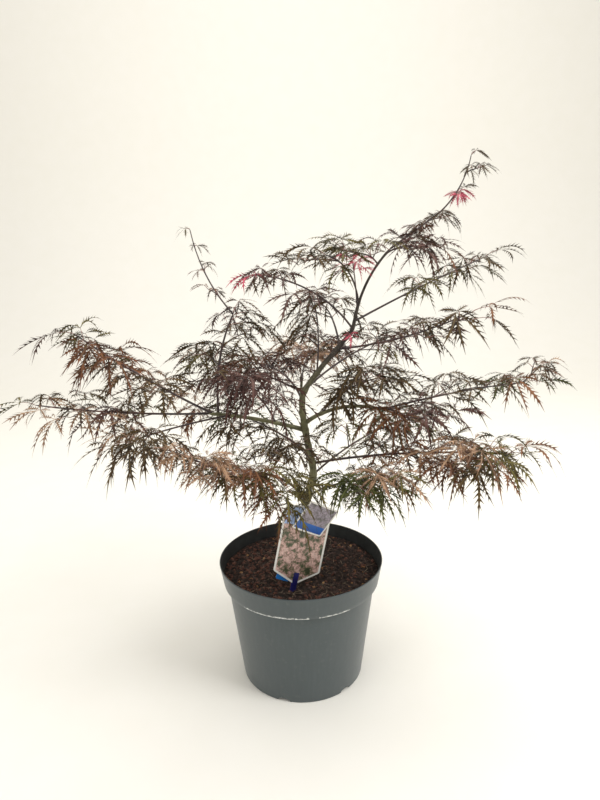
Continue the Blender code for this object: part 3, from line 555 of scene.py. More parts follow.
DARK_TINTS: Tints = (
    (LeafTint.BRONZE, 5), (LeafTint.PURPLE, 1.5), (LeafTint.RED_BROWN, 2), (LeafTint.OLIVE, 3.5)
)
SUNNY_TINTS: Tints = (
    (LeafTint.PINK_BROWN, 2.5), (LeafTint.RED_BROWN, 2.5), (LeafTint.BRONZE, 3), (LeafTint.PURPLE, 1.5),
    (LeafTint.OLIVE, 1.5),
)
LOW_TINTS: Tints = (
    (LeafTint.OLIVE, 3), (LeafTint.DEEP_GREEN, 1.5), (LeafTint.BRONZE, 3), (LeafTint.RED_BROWN, 1.5),
    (LeafTint.PINK_BROWN, 2),
)
SHADE_TINTS: Tints = (
    (LeafTint.DEEP_GREEN, 1), (LeafTint.OLIVE, 3), (LeafTint.BRONZE, 3), (LeafTint.PURPLE, 1)
)
RUSSET_TINTS: Tints = (
    (LeafTint.RED_BROWN, 3), (LeafTint.PINK_BROWN, 2.5), (LeafTint.BRONZE, 2.5), (LeafTint.OLIVE, 2)
)
CRIMSON_TINTS: Tints = ((LeafTint.CRIMSON, 1),)
PLUM_TINTS: Tints = ((LeafTint.PURPLE, 5), (LeafTint.BRONZE, 2), (LeafTint.RED_BROWN, 2))


@dataclass(frozen=True)
class Mass:
    """One mass of foliage: its stem, any limbs that fork from it, and how it is clothed."""

    stem: Limb
    forks: tuple[Limb, ...] = ()
    first: float = 0.25  # share of a stem that is bare
    spacing: float = 0.046  # between leaf pairs
    spread: float = 0.065  # length of the side twigs near the stem's foot
    size: float = 1.0  # of its leaves
    tip_size: float = 1.0  # of the leaves on its forks
    tip_spread: float = 0.05  # length of the side twigs on its forks
    tints: Tints = DARK_TINTS
    young: tuple[str, ...] = ()  # limbs whose end leaf, or pairs whose leaves, are young and crimson
    fullness: float = 0.7  # share of the finer leaves and twigs that it bears
    tip_fullness: float = 1.0  # and of that, what its forks bear
    curled: tuple[str, ...] = ()  # limbs whose end leaf has curled up


BOUGHS = (
    Limb("left_bough", "trunk", 0.535, 190, 20, 0.166, 1, -12, 0.0074, 0.0052),
    Limb("right_bough", "trunk", 0.56, 355, 38, 0.138, 1, -55, 0.0070, 0.0050),
    Limb("back_bough", "trunk", 0.60, 93, 24, 0.120, -6, -12, 0.0062, 0.0044),
    Limb("top_bough", "trunk", 1.0, 17, 78, 0.123, -13, -33, 0.0046, 0.0036),
)

MASSES = (
    # left side
    Mass(
        Limb("far_left", "left_bough", 1.0, 178, -1, 0.287, 0, 9, 0.0040, 0.0022),
        spacing=0.052, spread=0.05, tints=SUNNY_TINTS, fullness=0.28,
    ),
    Mass(
        Limb("upper_left", "left_bough", 0.95, 191, 30, 0.248, 5, 10, 0.0040, 0.0022),
        spread=0.05, tints=SUNNY_TINTS, fullness=0.49,
    ),
    Mass(
        Limb("left_rise", "left_bough", 0.90, 104, 69, 0.177, -58, -13, 0.0040, 0.0030),
        (Limb("left_rise_tip", "left_rise", 1.0, 168, 47, 0.163, -26, 29, 0.0030, 0.0016),),
        spacing=0.04, spread=0.072, size=0.9, tip_size=0.4, first=0.4, tip_spread=0.02, tip_fullness=0.0,
        fullness=0.5,
    ),
    Mass(
        Limb("left_low", "left_bough", 0.80, 225, 3, 0.195, 10, -4, 0.0034, 0.0020),
        first=0.7, tints=SUNNY_TINTS, fullness=1.0,
    ),
    Mass(
        Limb("left_inner", "left_bough", 0.32, 241, 58, 0.130, -22, -24, 0.0032, 0.0018),
        first=0.35, tints=PLUM_TINTS, spacing=0.036,
    ),
    # front, low
    Mass(
        Limb("low_left", "trunk", 0.25, 243, 49, 0.255, -2, -40, 0.0044, 0.0028),
        (
            Limb("low_left_out", "low_left", 1.0, 211, 35, 0.110, 2, -6, 0.0028, 0.0018),
            Limb("low_left_drop", "low_left", 0.74, 335, -54, 0.062, 0, -16, 0.0020, 0.0014),
        ),
        first=0.5, size=0.9, tip_size=0.7, tints=RUSSET_TINTS, curled=("low_left_drop",), fullness=1.0,
    ),
    Mass(
        Limb("low_front_right", "trunk", 0.275, 312, 34, 0.230, -18, -21, 0.0044, 0.0022),
        first=0.48, size=0.9, tints=LOW_TINTS, fullness=1.0,
    ),
    Mass(
        Limb("lower_right", "trunk", 0.405, 341, 15, 0.325, -13, -10, 0.0046, 0.0022),
        (Limb("lower_right_low", "lower_right", 0.51, 314, -8, 0.155, -11, 26, 0.0026, 0.0016),),
        tints=RUSSET_TINTS, fullness=0.75, tip_size=0.85,
    ),
    Mass(
        Limb("front_centre", "trunk", 0.475, 240, 24, 0.140, 6, -34, 0.0034, 0.0020),
        size=0.85, tints=SHADE_TINTS, first=0.25, fullness=1.0,
    ),
    # right side
    Mass(
        Limb("far_right", "right_bough", 1.0, 10, 12, 0.253, -1, -9, 0.0040, 0.0022),
        (Limb("far_right_tip", "far_right", 1.0, 8, 34, 0.042, 0, 20, 0.0022, 0.0014),),
        spread=0.055, tip_size=0.6, tints=LOW_TINTS, fullness=0.28, first=0.3,
    ),
    Mass(
        Limb("right_front", "right_bough", 0.88, 318, 10, 0.100, -30, -26, 0.0036, 0.0022),
        first=0.15, spacing=0.026, tints=PLUM_TINTS, fullness=0.25,
    ),
    Mass(
        Limb("right_side", "right_bough", 0.25, 345, 55, 0.115, -10, -40, 0.0032, 0.0020),
        fullness=0.56,
    ),
    Mass(
        Limb("right_mid", "trunk", 0.87, 339, 7, 0.226, -11, 20, 0.0038, 0.0018),
        spread=0.05, fullness=0.07, spacing=0.066,
    ),
    # crown
    Mass(
        Limb("top_shoot", "top_bough", 1.0, 7, 34, 0.098, 0, 1, 0.0034, 0.0026),
        (Limb("top_tip", "top_shoot", 1.0, 0, 43, 0.096, 0, 38, 0.0026, 0.0014),),
        spacing=0.036, spread=0.036, size=0.5, tip_size=0.4, tip_spread=0.024, young=("top_tip 0",),
        fullness=0.07,
    ),
    Mass(
        Limb("upper_right", "trunk", 0.985, 20, 24, 0.262, -1, -5, 0.0038, 0.0018),
        first=0.42, spread=0.05, size=0.85, fullness=0.14, spacing=0.058,
    ),
    Mass(
        Limb("crimson_left", "trunk", 0.96, 195, 54, 0.172, 2, -45, 0.0036, 0.0020),
        size=0.8, young=("crimson_left",), fullness=0.21, spacing=0.06,
    ),
    Mass(
        Limb("upper_short", "top_bough", 0.10, 258, 70, 0.086, -8, -14, 0.0024, 0.0016),
        size=0.5, young=("upper_short",), first=0.8, tints=CRIMSON_TINTS,
    ),
    Mass(
        Limb("upper_inner", "top_bough", 0.18, 244, 70, 0.125, -21, -60, 0.0032, 0.0018),
        size=0.8, fullness=0.42,
    ),
    Mass(
        Limb("top_drape", "top_bough", 0.90, 322, 34, 0.066, 6, -56, 0.0028, 0.0018),
        first=0.1, spacing=0.033, spread=0.03, size=0.85,
    ),
    Mass(
        Limb("top_inner", "top_bough", 0.74, 225, 46, 0.060, -25, -62, 0.0028, 0.0018),
        first=0.1, spacing=0.024, spread=0.045, size=0.85,
    ),
    Mass(
        Limb("fork_bud", "trunk", 0.93, 278, 20, 0.012, 0, 0, 0.0020, 0.0014),
        first=0.5, size=0.36, tints=CRIMSON_TINTS, young=("fork_bud",), fullness=0.0,
    ),
    # back
    Mass(
        Limb("inner_left", "trunk", 0.645, 106, 29, 0.190, 34, -32, 0.0036, 0.0020),
        tints=PLUM_TINTS, spacing=0.04, fullness=0.6,
    ),
    Mass(
        Limb("inner_rise", "trunk", 0.76, 60, 78, 0.120, 60, -10, 0.0032, 0.0018),
        size=0.85, tints=SUNNY_TINTS,
    ),
    Mass(
        Limb("back_shoot", "back_bough", 1.0, 86, 13, 0.190, -6, -14, 0.0038, 0.0020),
        tints=LOW_TINTS,
    ),
    Mass(
        Limb("back_left", "back_bough", 0.55, 136, 14, 0.255, 10, -12, 0.0038, 0.0020),
        tints=SUNNY_TINTS, fullness=0.15,
    ),
    Mass(
        Limb("back_right", "trunk", 0.69, 48, 24, 0.300, -8, -22, 0.0040, 0.0020),
        spacing=0.06, fullness=0.1,
    ),
    Mass(
        Limb("low_back_left", "trunk", 0.44, 140, 24, 0.260, 6, -26, 0.0040, 0.0020),
        spacing=0.06, tints=LOW_TINTS, fullness=0.35,
    ),
    Mass(
        Limb("low_back_right", "trunk", 0.36, 38, 26, 0.270, 4, -30, 0.0040, 0.0020),
        spacing=0.06, tints=LOW_TINTS, fullness=0.35,
    ),
    Mass(
        Limb("back_top", "trunk", 0.885, 96, 40, 0.200, 10, -45, 0.0036, 0.0020),
        size=0.9, fullness=0.0, spacing=0.07,
    ),
)

TRUNK_COURSE = (
    (0.000, -0.002, 0.012), (0.085, 0.005, 0.010), (0.148, 0.020, 0.009), (0.180, 0.024, 0.008),
    (0.242, 0.013, 0.006), (0.305, 0.008, 0.004), (0.345, 0.031, 0.003), (0.386, 0.065, 0.002),
    (0.415, 0.089, 0.001), (0.439, 0.096, 0.000),
)
UP = np.array([0.0, 0.0, 1.0])
BOUGH_STEPS = 7
STEM_STEPS = 8
TWIG_RADII = (0.0014, 0.0012, 0.0009)  # at a side twig's root, middle and end
LEAF_LENGTH = 0.070  # of a leaf's middle lobe
PETIOLE = 0.028
# heading and share of the length of each lobe
LOBES = ((-78.0, 0.60), (-37.0, 0.90), (0.0, 1.0), (37.0, 0.90), (78.0, 0.60))
SMALL_LOBES = ((-50.0, 0.80), (0.0, 1.0), (50.0, 0.80))
NOTCH_SHARE = 0.20  # how far out the notches between the lobes reach
CLEARANCE = 0.0034  # between a mass's own leaves and twigs
FOREIGN_CLEARANCE = 0.0062  # from other masses, limbs and labels
ROOT_SHARE = 0.4  # share of a stalk or twig that may run close to its own mass
REACH = 0.125  # how far from its stems a mass may spread
RIB_RADIUS = 0.001
TIP_DROP = 0.19  # how far a lobe's tip hangs, as a share of the lobe
TRIES = 10  # attitudes tried for each leaf and side twig
PLATE_ROWS = 12  # upright segments that stand for a card
NEAR = 0.025  # how far away a segment may be and still need a look
FORK_FIRST = 0.15  # share of a fork that is bare
END_SHARE = 0.86  # past this share of a stem no side twig grows
PAIR_TURN = 62.0  # headings in degrees from the limb's own
MIDDLE_TURN = 64.0
TWIG_TURN = 46.0
TWIG_SWAY = 14.0
LEAF_SWAY = 22.0
DROOP = (16.0, 60.0)  # range of the degrees that a blade hangs below level
HUB_RISE = (0.0, 0.95)  # slope of the petioles
STEM_TIP_HANG = 0.45  # droop of an end leaf, as a share of the others'
TWIG_TIP_HANG = 0.7
# share of the step between leaf pairs, heading, and size
FINER_PAIRS = ((0.62, 64.0, 0.96), (0.88, 38.0, 0.9), (0.12, 84.0, 0.86), (0.40, 20.0, 0.8))
FINER_SIZE = 0.92
FINER_RADIUS = 0.0008
FINER_DROOP = (-14.0, 66.0)
FINER_SWAY = 34.0
# share of the side twig, and heading from it
FINER_TWIGS = ((0.42, -48.0), (0.70, 48.0))
FINER_TWIG_LEAVES = (
    (0.5, -66.0), (0.28, 62.0), (0.28, -62.0), (0.78, 58.0), (0.78, -58.0), (0.95, 90.0), (0.95, -90.0)
)


def unit(v: Array) -> Array:
    """Returns a vector of length one."""
    return v / np.linalg.norm(v)


def level(way: Array) -> Array:
    """Returns a direction laid level."""
    return unit(np.array([way[0], way[1], 0.0]))


def turned(way: Array, degrees: float) -> Array:
    """Turns a level direction about Z.

    Args:
        way: The level direction.
        degrees: The turn, anticlockwise from above.

    Returns:
        The turned direction.
    """
    a = math.radians(degrees)
    x = way[0] * math.cos(a) - way[1] * math.sin(a)
    return np.array([x, way[0] * math.sin(a) + way[1] * math.cos(a), 0])


def limb_line(limb: Limb, start: Array, steps: int) -> Array:
    """Lays out a limb from its start, its heading and rise changing evenly.

    Args:
        limb: The limb.
        start: Its first point.
        steps: The number of straight steps.

    Returns:
        The limb's points.
    """
    points = [np.array(start, float)]
    for i in range(steps):
        share = (i + 0.5) / steps
        heading = math.radians(limb.heading + limb.turn * share)
        rise = math.radians(limb.rise + limb.lift * share)
        flat = math.cos(rise)
        step = np.array([flat * math.cos(heading), flat * math.sin(heading), math.sin(rise)])
        points.append(points[-1] + step * limb.length / steps)
    return np.array(points)


def smooth_course(stations: Array, steps: int) -> Array:
    """Draws a smooth line through the stations.

    Args:
        stations: The points to pass through.
        steps: The number of points on each span.

    Returns:
        The line's points.
    """
    p = np.array(stations, float)
    ends = np.vstack([2 * p[0] - p[1], p, 2 * p[-1] - p[-2]])
    line = []
    for i in range(len(p) - 1):
        a, b, c, d = ends[i : i + 4]
        for t in np.arange(steps) / steps:
            bend = (2 * a - 5 * b + 4 * c - d) * t**2 + (3 * b - a - 3 * c + d) * t**3
            line.append(0.5 * (2 * b + (c - a) * t + bend))
    return np.array([*line, p[-1]])


def along(line: Array, share: float) -> Array:
    """Finds the point at a share of a line's length.

    Args:
        line: The line's points.
        share: The share, from 0 to 1.

    Returns:
        The point.
    """
    lengths = np.r_[0, np.cumsum(np.linalg.norm(np.diff(line, axis=0), axis=1))]
    place = share * lengths[-1]
    return np.array([np.interp(place, lengths, line[:, k]) for k in range(3)])


def direction(line: Array, share: float) -> Array:
    """Finds a line's direction at a share of its length.

    Args:
        line: The line's points.
        share: The share, from 0 to 1.

    Returns:
        The direction, of length one.
    """
    return unit(along(line, min(1, share + 0.02)) - along(line, max(0, share - 0.02)))


def segment_gaps(p0: Array, p1: Array, q0: Array, q1: Array) -> Array:
    """Measures the least distance between each pair of segments.

    Args:
        p0: Starts of the first segments.
        p1: Their ends.
        q0: Starts of the second segments.
        q1: Their ends.

    Returns:
        The distances, one row for each first segment.
    """
    u, v = p1 - p0, q1 - q0
    w = p0[:, None] - q0[None]
    uu = np.maximum((u * u).sum(-1), 1e-12)[:, None]
    vv = np.maximum((v * v).sum(-1), 1e-12)[None]
    uv = u @ v.T
    uw = (u[:, None] * w).sum(-1)
    vw = (v[None] * w).sum(-1)
    s = np.clip((uv * vw - vv * uw) / np.maximum(uu * vv - uv * uv, 1e-14), 0, 1)
    t = np.clip((uv * s + vw) / vv, 0, 1)
    s = np.clip((uv * t - uw) / uu, 0, 1)
    return np.linalg.norm(w + s[..., None] * u[:, None] - t[..., None] * v[None], axis=-1)


@dataclass
class Space:
    """What stands where: each limb, twig and leaf as segments, and each mass's own stems."""

    foreign_clearance: float = FOREIGN_CLEARANCE
    clearance: float = CLEARANCE
    room: int = 40000
    count: int = 0
    stem_rows: dict[str, list[int]] = field(default_factory=dict)

    def __post_init__(self) -> None:
        """Sets out the empty tables."""
        self.starts = np.zeros((self.room, 3))
        self.ends = np.zeros((self.room, 3))
        self.lows = np.zeros((self.room, 3))
        self.highs = np.zeros((self.room, 3))
        self.radii = np.zeros(self.room)
        self.owners = np.empty(self.room, object)

    def put(self, owner: str, starts: Array, ends: Array, radii: Array) -> set[int]:
        """Adds segments.

        Args:
            owner: The node that they belong to.
            starts: Their starts.
            ends: Their ends.
            radii: Their radii.

        Returns:
            The segments' numbers.
        """
        first, last = self.count, self.count + len(starts)
        self.starts[first:last] = starts
        self.ends[first:last] = ends
        self.lows[first:last] = np.minimum(starts, ends)
        self.highs[first:last] = np.maximum(starts, ends)
        self.radii[first:last] = radii
        self.owners[first:last] = owner
        self.count = last
        return set(range(first, last))

    def put_card(self, owner: str, card: Card) -> None:
        """Adds a card as upright segments.

        Args:
            owner: The node that it belongs to.
            card: The card.
        """
        across, up, _ = (np.array(way) for way in card.frame())
        for x in np.linspace(card.low[0], card.high[0], PLATE_ROWS):
            start = np.array(card.origin) + across * x + up * card.low[1]
            end = start + up * (card.high[1] - card.low[1])
            self.put(owner, start[None], end[None], np.array([LABEL_THICKNESS]))

    def clear(self, owner: str, starts: list, ends: list, skip: set[int]) -> bool:
        """Tells whether segments stand clear of the rest, within the owner's reach.

        The first segment grows from its own mass, so there it is only tested past its root.

        Args:
            owner: The mass that they would belong to.
            starts: Their starts.
            ends: Their ends.
            skip: The numbers of the segments that they grow from.

        Returns:
            Whether they may be added.
        """
        p0, p1 = np.array(starts), np.array(ends)
        low = np.minimum(p0, p1).min(0) - NEAR
        high = np.maximum(p0, p1).max(0) + NEAR
        n = self.count
        near = np.nonzero(((self.lows[:n] < high) & (self.highs[:n] > low)).all(1))[0]
        mine = self.owners[near] == owner
        others = near[~mine]
        if len(others):
            away = segment_gaps(p0, p1, self.starts[others], self.ends[others]) - self.radii[others]
            if away.min() < self.foreign_clearance:
                return False
        p0[0] += (p1[0] - p0[0]) * ROOT_SHARE
        own = np.array([row for row in near[mine] if row not in skip], int)
        if len(own):
            away = segment_gaps(p0, p1, self.starts[own], self.ends[own]) - self.radii[own]
            if away.min() < self.clearance:
                return False
        stems = self.stem_rows[owner]
        return bool(segment_gaps(p1, p1, self.starts[stems], self.ends[stems]).min(1).max() < REACH)


@dataclass
class Plant:
    """Keeps each limb's line, radii and segment numbers."""

    lines: dict = field(default_factory=dict)
    radii: dict = field(default_factory=dict)
    rows: dict = field(default_factory=dict)

    def grow(self, limb: Limb, steps: int) -> None:
        """Adds a limb from its seat on its parent.

        Args:
            limb: The limb.
            steps: The number of straight steps in its line.
        """
        start = along(self.lines[limb.parent], limb.at)
        line = limb_line(limb, start, steps)
        self.lines[limb.name] = line
        self.radii[limb.name] = np.linspace(limb.foot / 2, limb.tip / 2, len(line))


@dataclass(frozen=True)
class Leaf:
    """Where one leaf grows: its petiole's ends, its level heading, its droop and its size."""

    root: Array
    hub: Array
    way: Array
    droop: float
    length: float
    lobes: tuple
    tint: LeafTint
    seed: str


@dataclass(frozen=True)
class Twig:
    """A twig's points and radii."""

    line: Array
    radii: tuple[float, ...]


@dataclass(frozen=True)
class Spray:
    """What the leaves of one spray share."""

    rows: set[int]  # the segments that they grow from
    size: float
    seed: str
    tint: LeafTint


@dataclass(frozen=True)
class SideTwig:
    """A side twig, on which finer ones may grow."""

    start: Array
    middle: Array
    end: Array
    ahead: Array  # its level way
    side: int  # 1 for the left of the stem and -1 for its right
    spray: Spray

    def at(self, part: float) -> Array:
        """Finds the point at a share of the twig's length.

        Args:
            part: The share, from 0 to 1.

        Returns:
            The point.
        """
        if part < 0.5:
            return self.start + (self.middle - self.start) * 2 * part
        return self.middle + (self.end - self.middle) * (2 * part - 1)


@dataclass
class Rule:
    """Clothes one mass by the seeded rule, and then carries it on to finer leaves."""

    mass: Mass
    plant: Plant
    space: Space
    leaves: list[Leaf] = field(default_factory=list)
    twigs: list[Twig] = field(default_factory=list)
    side_twigs: list[SideTwig] = field(default_factory=list)
    droop: tuple[float, float] = DROOP
    sway: float = LEAF_SWAY

    @property
    def name(self) -> str:
        """The mass's node."""
        return self.mass.stem.name + "_foliage"

    def limbs(self) -> tuple[Limb, ...]:
        """The mass's stem and its forks."""
        return (self.mass.stem, *self.mass.forks)

    def tint_for(self, seed: str, young: bool = False) -> LeafTint:
        """Deals a colour to a spray.

        Args:
            seed: The spray's seed.
            young: Whether it is a young, crimson one.

        Returns:
            The colour.
        """
        if young:
            return LeafTint.CRIMSON
        tints, weights = zip(*self.mass.tints)
        return random.Random("tint " + seed).choices(tints, weights)[0]

    def measure(self, limb: Limb) -> tuple[float, float, int]:
        """Gives a limb's bare share, leaf size and number of leaf pairs.

        Args:
            limb: The limb.

        Returns:
            The three values.
        """
        stem = limb is self.mass.stem
        first = self.mass.first if stem else FORK_FIRST
        size = self.mass.size if stem else self.mass.tip_size
        return first, size, max(1, round((1 - first) * limb.length / self.mass.spacing))

    def fullness(self, on_stem: bool) -> float:
        """The share of the finer leaves and twigs that the stem, or a fork, bears."""
        return self.mass.fullness * (1.0 if on_stem else self.mass.tip_fullness)

    def clothe(self) -> None:
        """Lays out the leaves and side twigs that the solids have."""
        for limb in self.limbs():
            line, rows = self.plant.lines[limb.name], self.plant.rows[limb.name]
            first, size, count = self.measure(limb)
            spread = self.mass.spread if limb is self.mass.stem else self.mass.tip_spread
            tint = self.tint_for(limb.name + " end", limb.name in self.mass.young)
            end = Spray(rows, size, limb.name + " end", tint)
            self.leaf_at(line[-1], level(direction(line, 1.0)), end, hang=STEM_TIP_HANG)
            for k in reversed(range(count)):
                share = first + (1 - first) * (k + 0.35) / count
                at, axis = along(line, share), direction(line, share)
                young = f"{limb.name} {k}" in self.mass.young
                for side in (-1, 1):
                    tint = self.tint_for(f"{limb.name} {k // 2} {side}", young)
                    spray = Spray(rows, size, f"{limb.name} {k} {side}", tint)
                    if (k + (side > 0)) % 2 and share < END_SHARE:
                        self.twig_at(at, axis, side, spread * (1.15 - 0.6 * share), spray)
                    else:
                        self.leaf_at(at, turned(level(axis), side * PAIR_TURN), spray)

    def twig_at(self, at: Array, axis: Array, side: int, length: float, spray: Spray) -> None:
        """Adds a side twig with a leaf at its end and a smaller one on its way.

        Args:
            at: Its root on the stem.
            axis: The stem's direction.
            side: 1 for the left of the stem and -1 for its right.
            length: Its mean length.
            spray: What its leaves share.
        """
        rng = random.Random(spray.seed)
        length *= rng.uniform(0.8, 1.2)
        for _ in range(TRIES):
            out = turned(level(axis), side * (TWIG_TURN + rng.uniform(-TWIG_SWAY, TWIG_SWAY)))
            rise = rng.uniform(-0.25, 0.3)
            ahead = unit(out + np.array([0, 0, axis[2] * 0.4 + rise]))
            end = at + ahead * length
            middle = (at + end) / 2 + UP * 0.04 * length
            if self.space.clear(self.name, [at, middle], [middle, end], spray.rows):
                rows = self.space.put(self.name, [at, middle], [middle, end], list(TWIG_RADII[:2]))
                self.twigs.append(Twig(np.array([at, middle, end]), TWIG_RADII))
                grown = replace(spray, rows=rows)
                self.leaf_at(end, level(ahead), grown, " end", share=0.95, hang=TWIG_TIP_HANG)
                out = turned(level(ahead), MIDDLE_TURN * side)
                self.leaf_at(middle, out, grown, " middle", SMALL_LOBES, 0.85)
                self.side_twigs.append(SideTwig(at, middle, end, level(ahead), side, grown))
                return

    def leaf_at(
        self, at: Array, way: Array, spray: Spray, suffix: str = "", lobes: tuple = LOBES, share: float = 1.0,
        hang: float = 1.0,
    ) -> None:
        """Adds a leaf in the first of a few attitudes in which it stands clear.

        Args:
            at: The petiole's root.
            way: Its level heading.
            spray: What it shares with its neighbours.
            suffix: The end of its seed.
            lobes: The angle and length share of each lobe.
            share: Its size, as a share of the spray's.
            hang: Its droop, as a share of the others'.
        """
        seed, size = spray.seed + suffix, share * spray.size
        rng = random.Random(seed)
        length = LEAF_LENGTH * size * rng.uniform(0.88, 1.08)
        stalk = PETIOLE * size * rng.uniform(0.85, 1.2)
        for _ in range(TRIES):
            out = turned(way, rng.uniform(-self.sway, self.sway))
            hub = at + unit(out + UP * rng.uniform(*HUB_RISE)) * stalk
            droop = rng.uniform(*self.droop) * hang
            starts, ends = rib_segments(at, hub, out, droop, length, lobes)
            if self.space.clear(self.name, starts, ends, spray.rows):
                self.space.put(self.name, starts, ends, [RIB_RADIUS] * len(starts))
                self.leaves.append(Leaf(at, hub, out, droop, length, lobes, spray.tint, seed))
                return

    def carry_on(self) -> None:
        """Carries the rule on: leaves between the pairs, finer twigs, and more leaves on the twigs."""
        self.droop, self.sway = FINER_DROOP, FINER_SWAY
        for limb in self.limbs():
            line, rows = self.plant.lines[limb.name], self.plant.rows[limb.name]
            first, size, count = self.measure(limb)
            fullness = self.fullness(limb is self.mass.stem)
            for k in range(count):
                for j, (part, turn, size_share) in enumerate(FINER_PAIRS):
                    share = min(0.985, first + (1 - first) * (k + part) / count)
                    at, way = along(line, share), level(direction(line, share))
                    for side in (-1, 1):
                        seed = f"{limb.name} fine {k} {side} {j}"
                        if random.Random("keep " + seed).random() <= fullness:
                            spray = Spray(rows, size, seed, self.tint_for(f"{limb.name} {k // 2} {side}"))
                            self.leaf_at(at, turned(way, side * turn), spray, share=size_share)
        for twig in self.side_twigs:
            self.finer_twigs(twig, self.fullness(twig.spray.seed.startswith(self.mass.stem.name + " ")))

    def finer_twigs(self, twig: SideTwig, fullness: float) -> None:
        """Sets finer twigs, each with a leaf at its end, and more leaves along a side twig.

        Args:
            twig: The side twig.
            fullness: The share of the finer twigs and leaves that it bears.
        """
        spray = twig.spray
        length = float(np.linalg.norm(twig.end - twig.start))
        for j, (part, turn) in enumerate(FINER_TWIGS):
            rng = random.Random(f"{spray.seed} finer {j}")
            if rng.random() > fullness:
                continue
            at = twig.at(part)
            out = turned(twig.ahead, turn * twig.side + rng.uniform(-TWIG_SWAY, TWIG_SWAY))
            way = unit(out + UP * rng.uniform(-0.3, 0.25))
            tip = at + way * length * rng.uniform(0.4, 0.6)
            if self.space.clear(self.name, [at], [tip], spray.rows):
                rows = self.space.put(self.name, np.array([at]), np.array([tip]), np.array([FINER_RADIUS]))
                bent = np.array([at, (at + tip) / 2 + UP * 0.03 * length, tip])
                self.twigs.append(Twig(bent, (FINER_RADIUS, FINER_RADIUS * 0.85, FINER_RADIUS * 0.7)))
                fine = replace(spray, rows=rows)
                self.leaf_at(tip, out, fine, f" finer end {j}", share=0.85, hang=TWIG_TIP_HANG)
                for turn_by in (-66.0, 66.0):
                    name = f" finer pair {j} {turn_by}"
                    self.leaf_at((at + tip) / 2, turned(out, turn_by), fine, name, SMALL_LOBES, 0.7)
        for j, (part, turn) in enumerate(FINER_TWIG_LEAVES):
            if random.Random(f"keep {spray.seed} {j}").random() <= fullness:
                out = turned(twig.ahead, turn * twig.side)
                self.leaf_at(twig.at(part), out, spray, f" fine {j}", share=FINER_SIZE)


def rib_segments(
    root: Array, hub: Array, way: Array, droop: float, length: float, lobes: tuple
) -> tuple[list, list]:
    """Lays out a leaf's petiole, ribs and notches as the solids' rule does.

    Args:
        root: The petiole's root.
        hub: Where the petiole meets the blade.
        way: The level way that the middle lobe points.
        droop: Degrees that the blade hangs below level.
        length: The middle lobe's length.
        lobes: The angle and length share of each lobe.

    Returns:
        The segments' starts and ends.
    """
    side = unit(np.cross(UP, way))
    drop = math.radians(droop)
    ahead = way * math.cos(drop) - UP * math.sin(drop)
    outline = []
    for i, (angle, share) in enumerate(lobes):
        turn = math.radians(angle)
        ray = ahead * math.cos(turn) + side * math.sin(turn)
        if i:
            middle = math.radians((angle + lobes[i - 1][0]) / 2)
            cut = ahead * math.cos(middle) + side * math.sin(middle)
            outline.append(hub + cut * length * NOTCH_SHARE)
        outline.append(hub + ray * length * share - UP * TIP_DROP * length * share)
    return [root, *[hub] * len(outline)], [hub, *outline]


# Joined meshes


@dataclass
class JoinedMesh:
    """Gathers many small shapes, and joins them as one mesh."""

    points: list[Array] = field(default_factory=list)
    faces: list[Array] = field(default_factory=list)
    uvs: list[Array] = field(default_factory=list)
    slots: list[Array] = field(default_factory=list)
    count: int = 0

    def add(self, points: Array, faces: Array, uvs: Array | None = None, slot: int = 0) -> None:
        """Adds a shape of triangles.

        Args:
            points: Its points.
            faces: Three point numbers for each face.
            uvs: A place on the UV map for each point, or for each corner of each face.
            slot: The material's number.
        """
        if uvs is None:
            uvs = np.zeros((len(points), 2))
        self.points.append(points)
        self.faces.append(faces + self.count)
        self.uvs.append(uvs if uvs.ndim == 3 else uvs[faces])
        self.slots.append(np.full(len(faces), slot))
        self.count += len(points)

    def build(self, name: str, materials: list[Material], smooth: bool = True) -> Piece:
        """Builds the object.

        Args:
            name: Its name.
            materials: Its materials, in order.
            smooth: Whether its shading is smooth.

        Returns:
            The object.
        """
        faces = np.concatenate(self.faces)
        mesh = bpy.data.meshes.new(name)
        mesh.vertices.add(self.count)
        mesh.vertices.foreach_set("co", np.concatenate(self.points).astype(np.float32).ravel())
        mesh.loops.add(faces.size)
        mesh.loops.foreach_set("vertex_index", faces.astype(np.int32).ravel())
        mesh.polygons.add(len(faces))
        mesh.polygons.foreach_set("loop_start", np.arange(0, faces.size, 3, dtype=np.int32))
        mesh.polygons.foreach_set("material_index", np.concatenate(self.slots).astype(np.int32))
        mesh.polygons.foreach_set("use_smooth", np.full(len(faces), smooth))
        layer = mesh.uv_layers.new(name="UVMap")
        layer.data.foreach_set("uv", np.concatenate(self.uvs).astype(np.float32).ravel())
        mesh.update(calc_edges=True)
        mesh.validate()
        for material in materials:
            mesh.materials.append(material)
        piece = bpy.data.objects.new(name, mesh)
        bpy.context.scene.collection.objects.link(piece)
        return piece


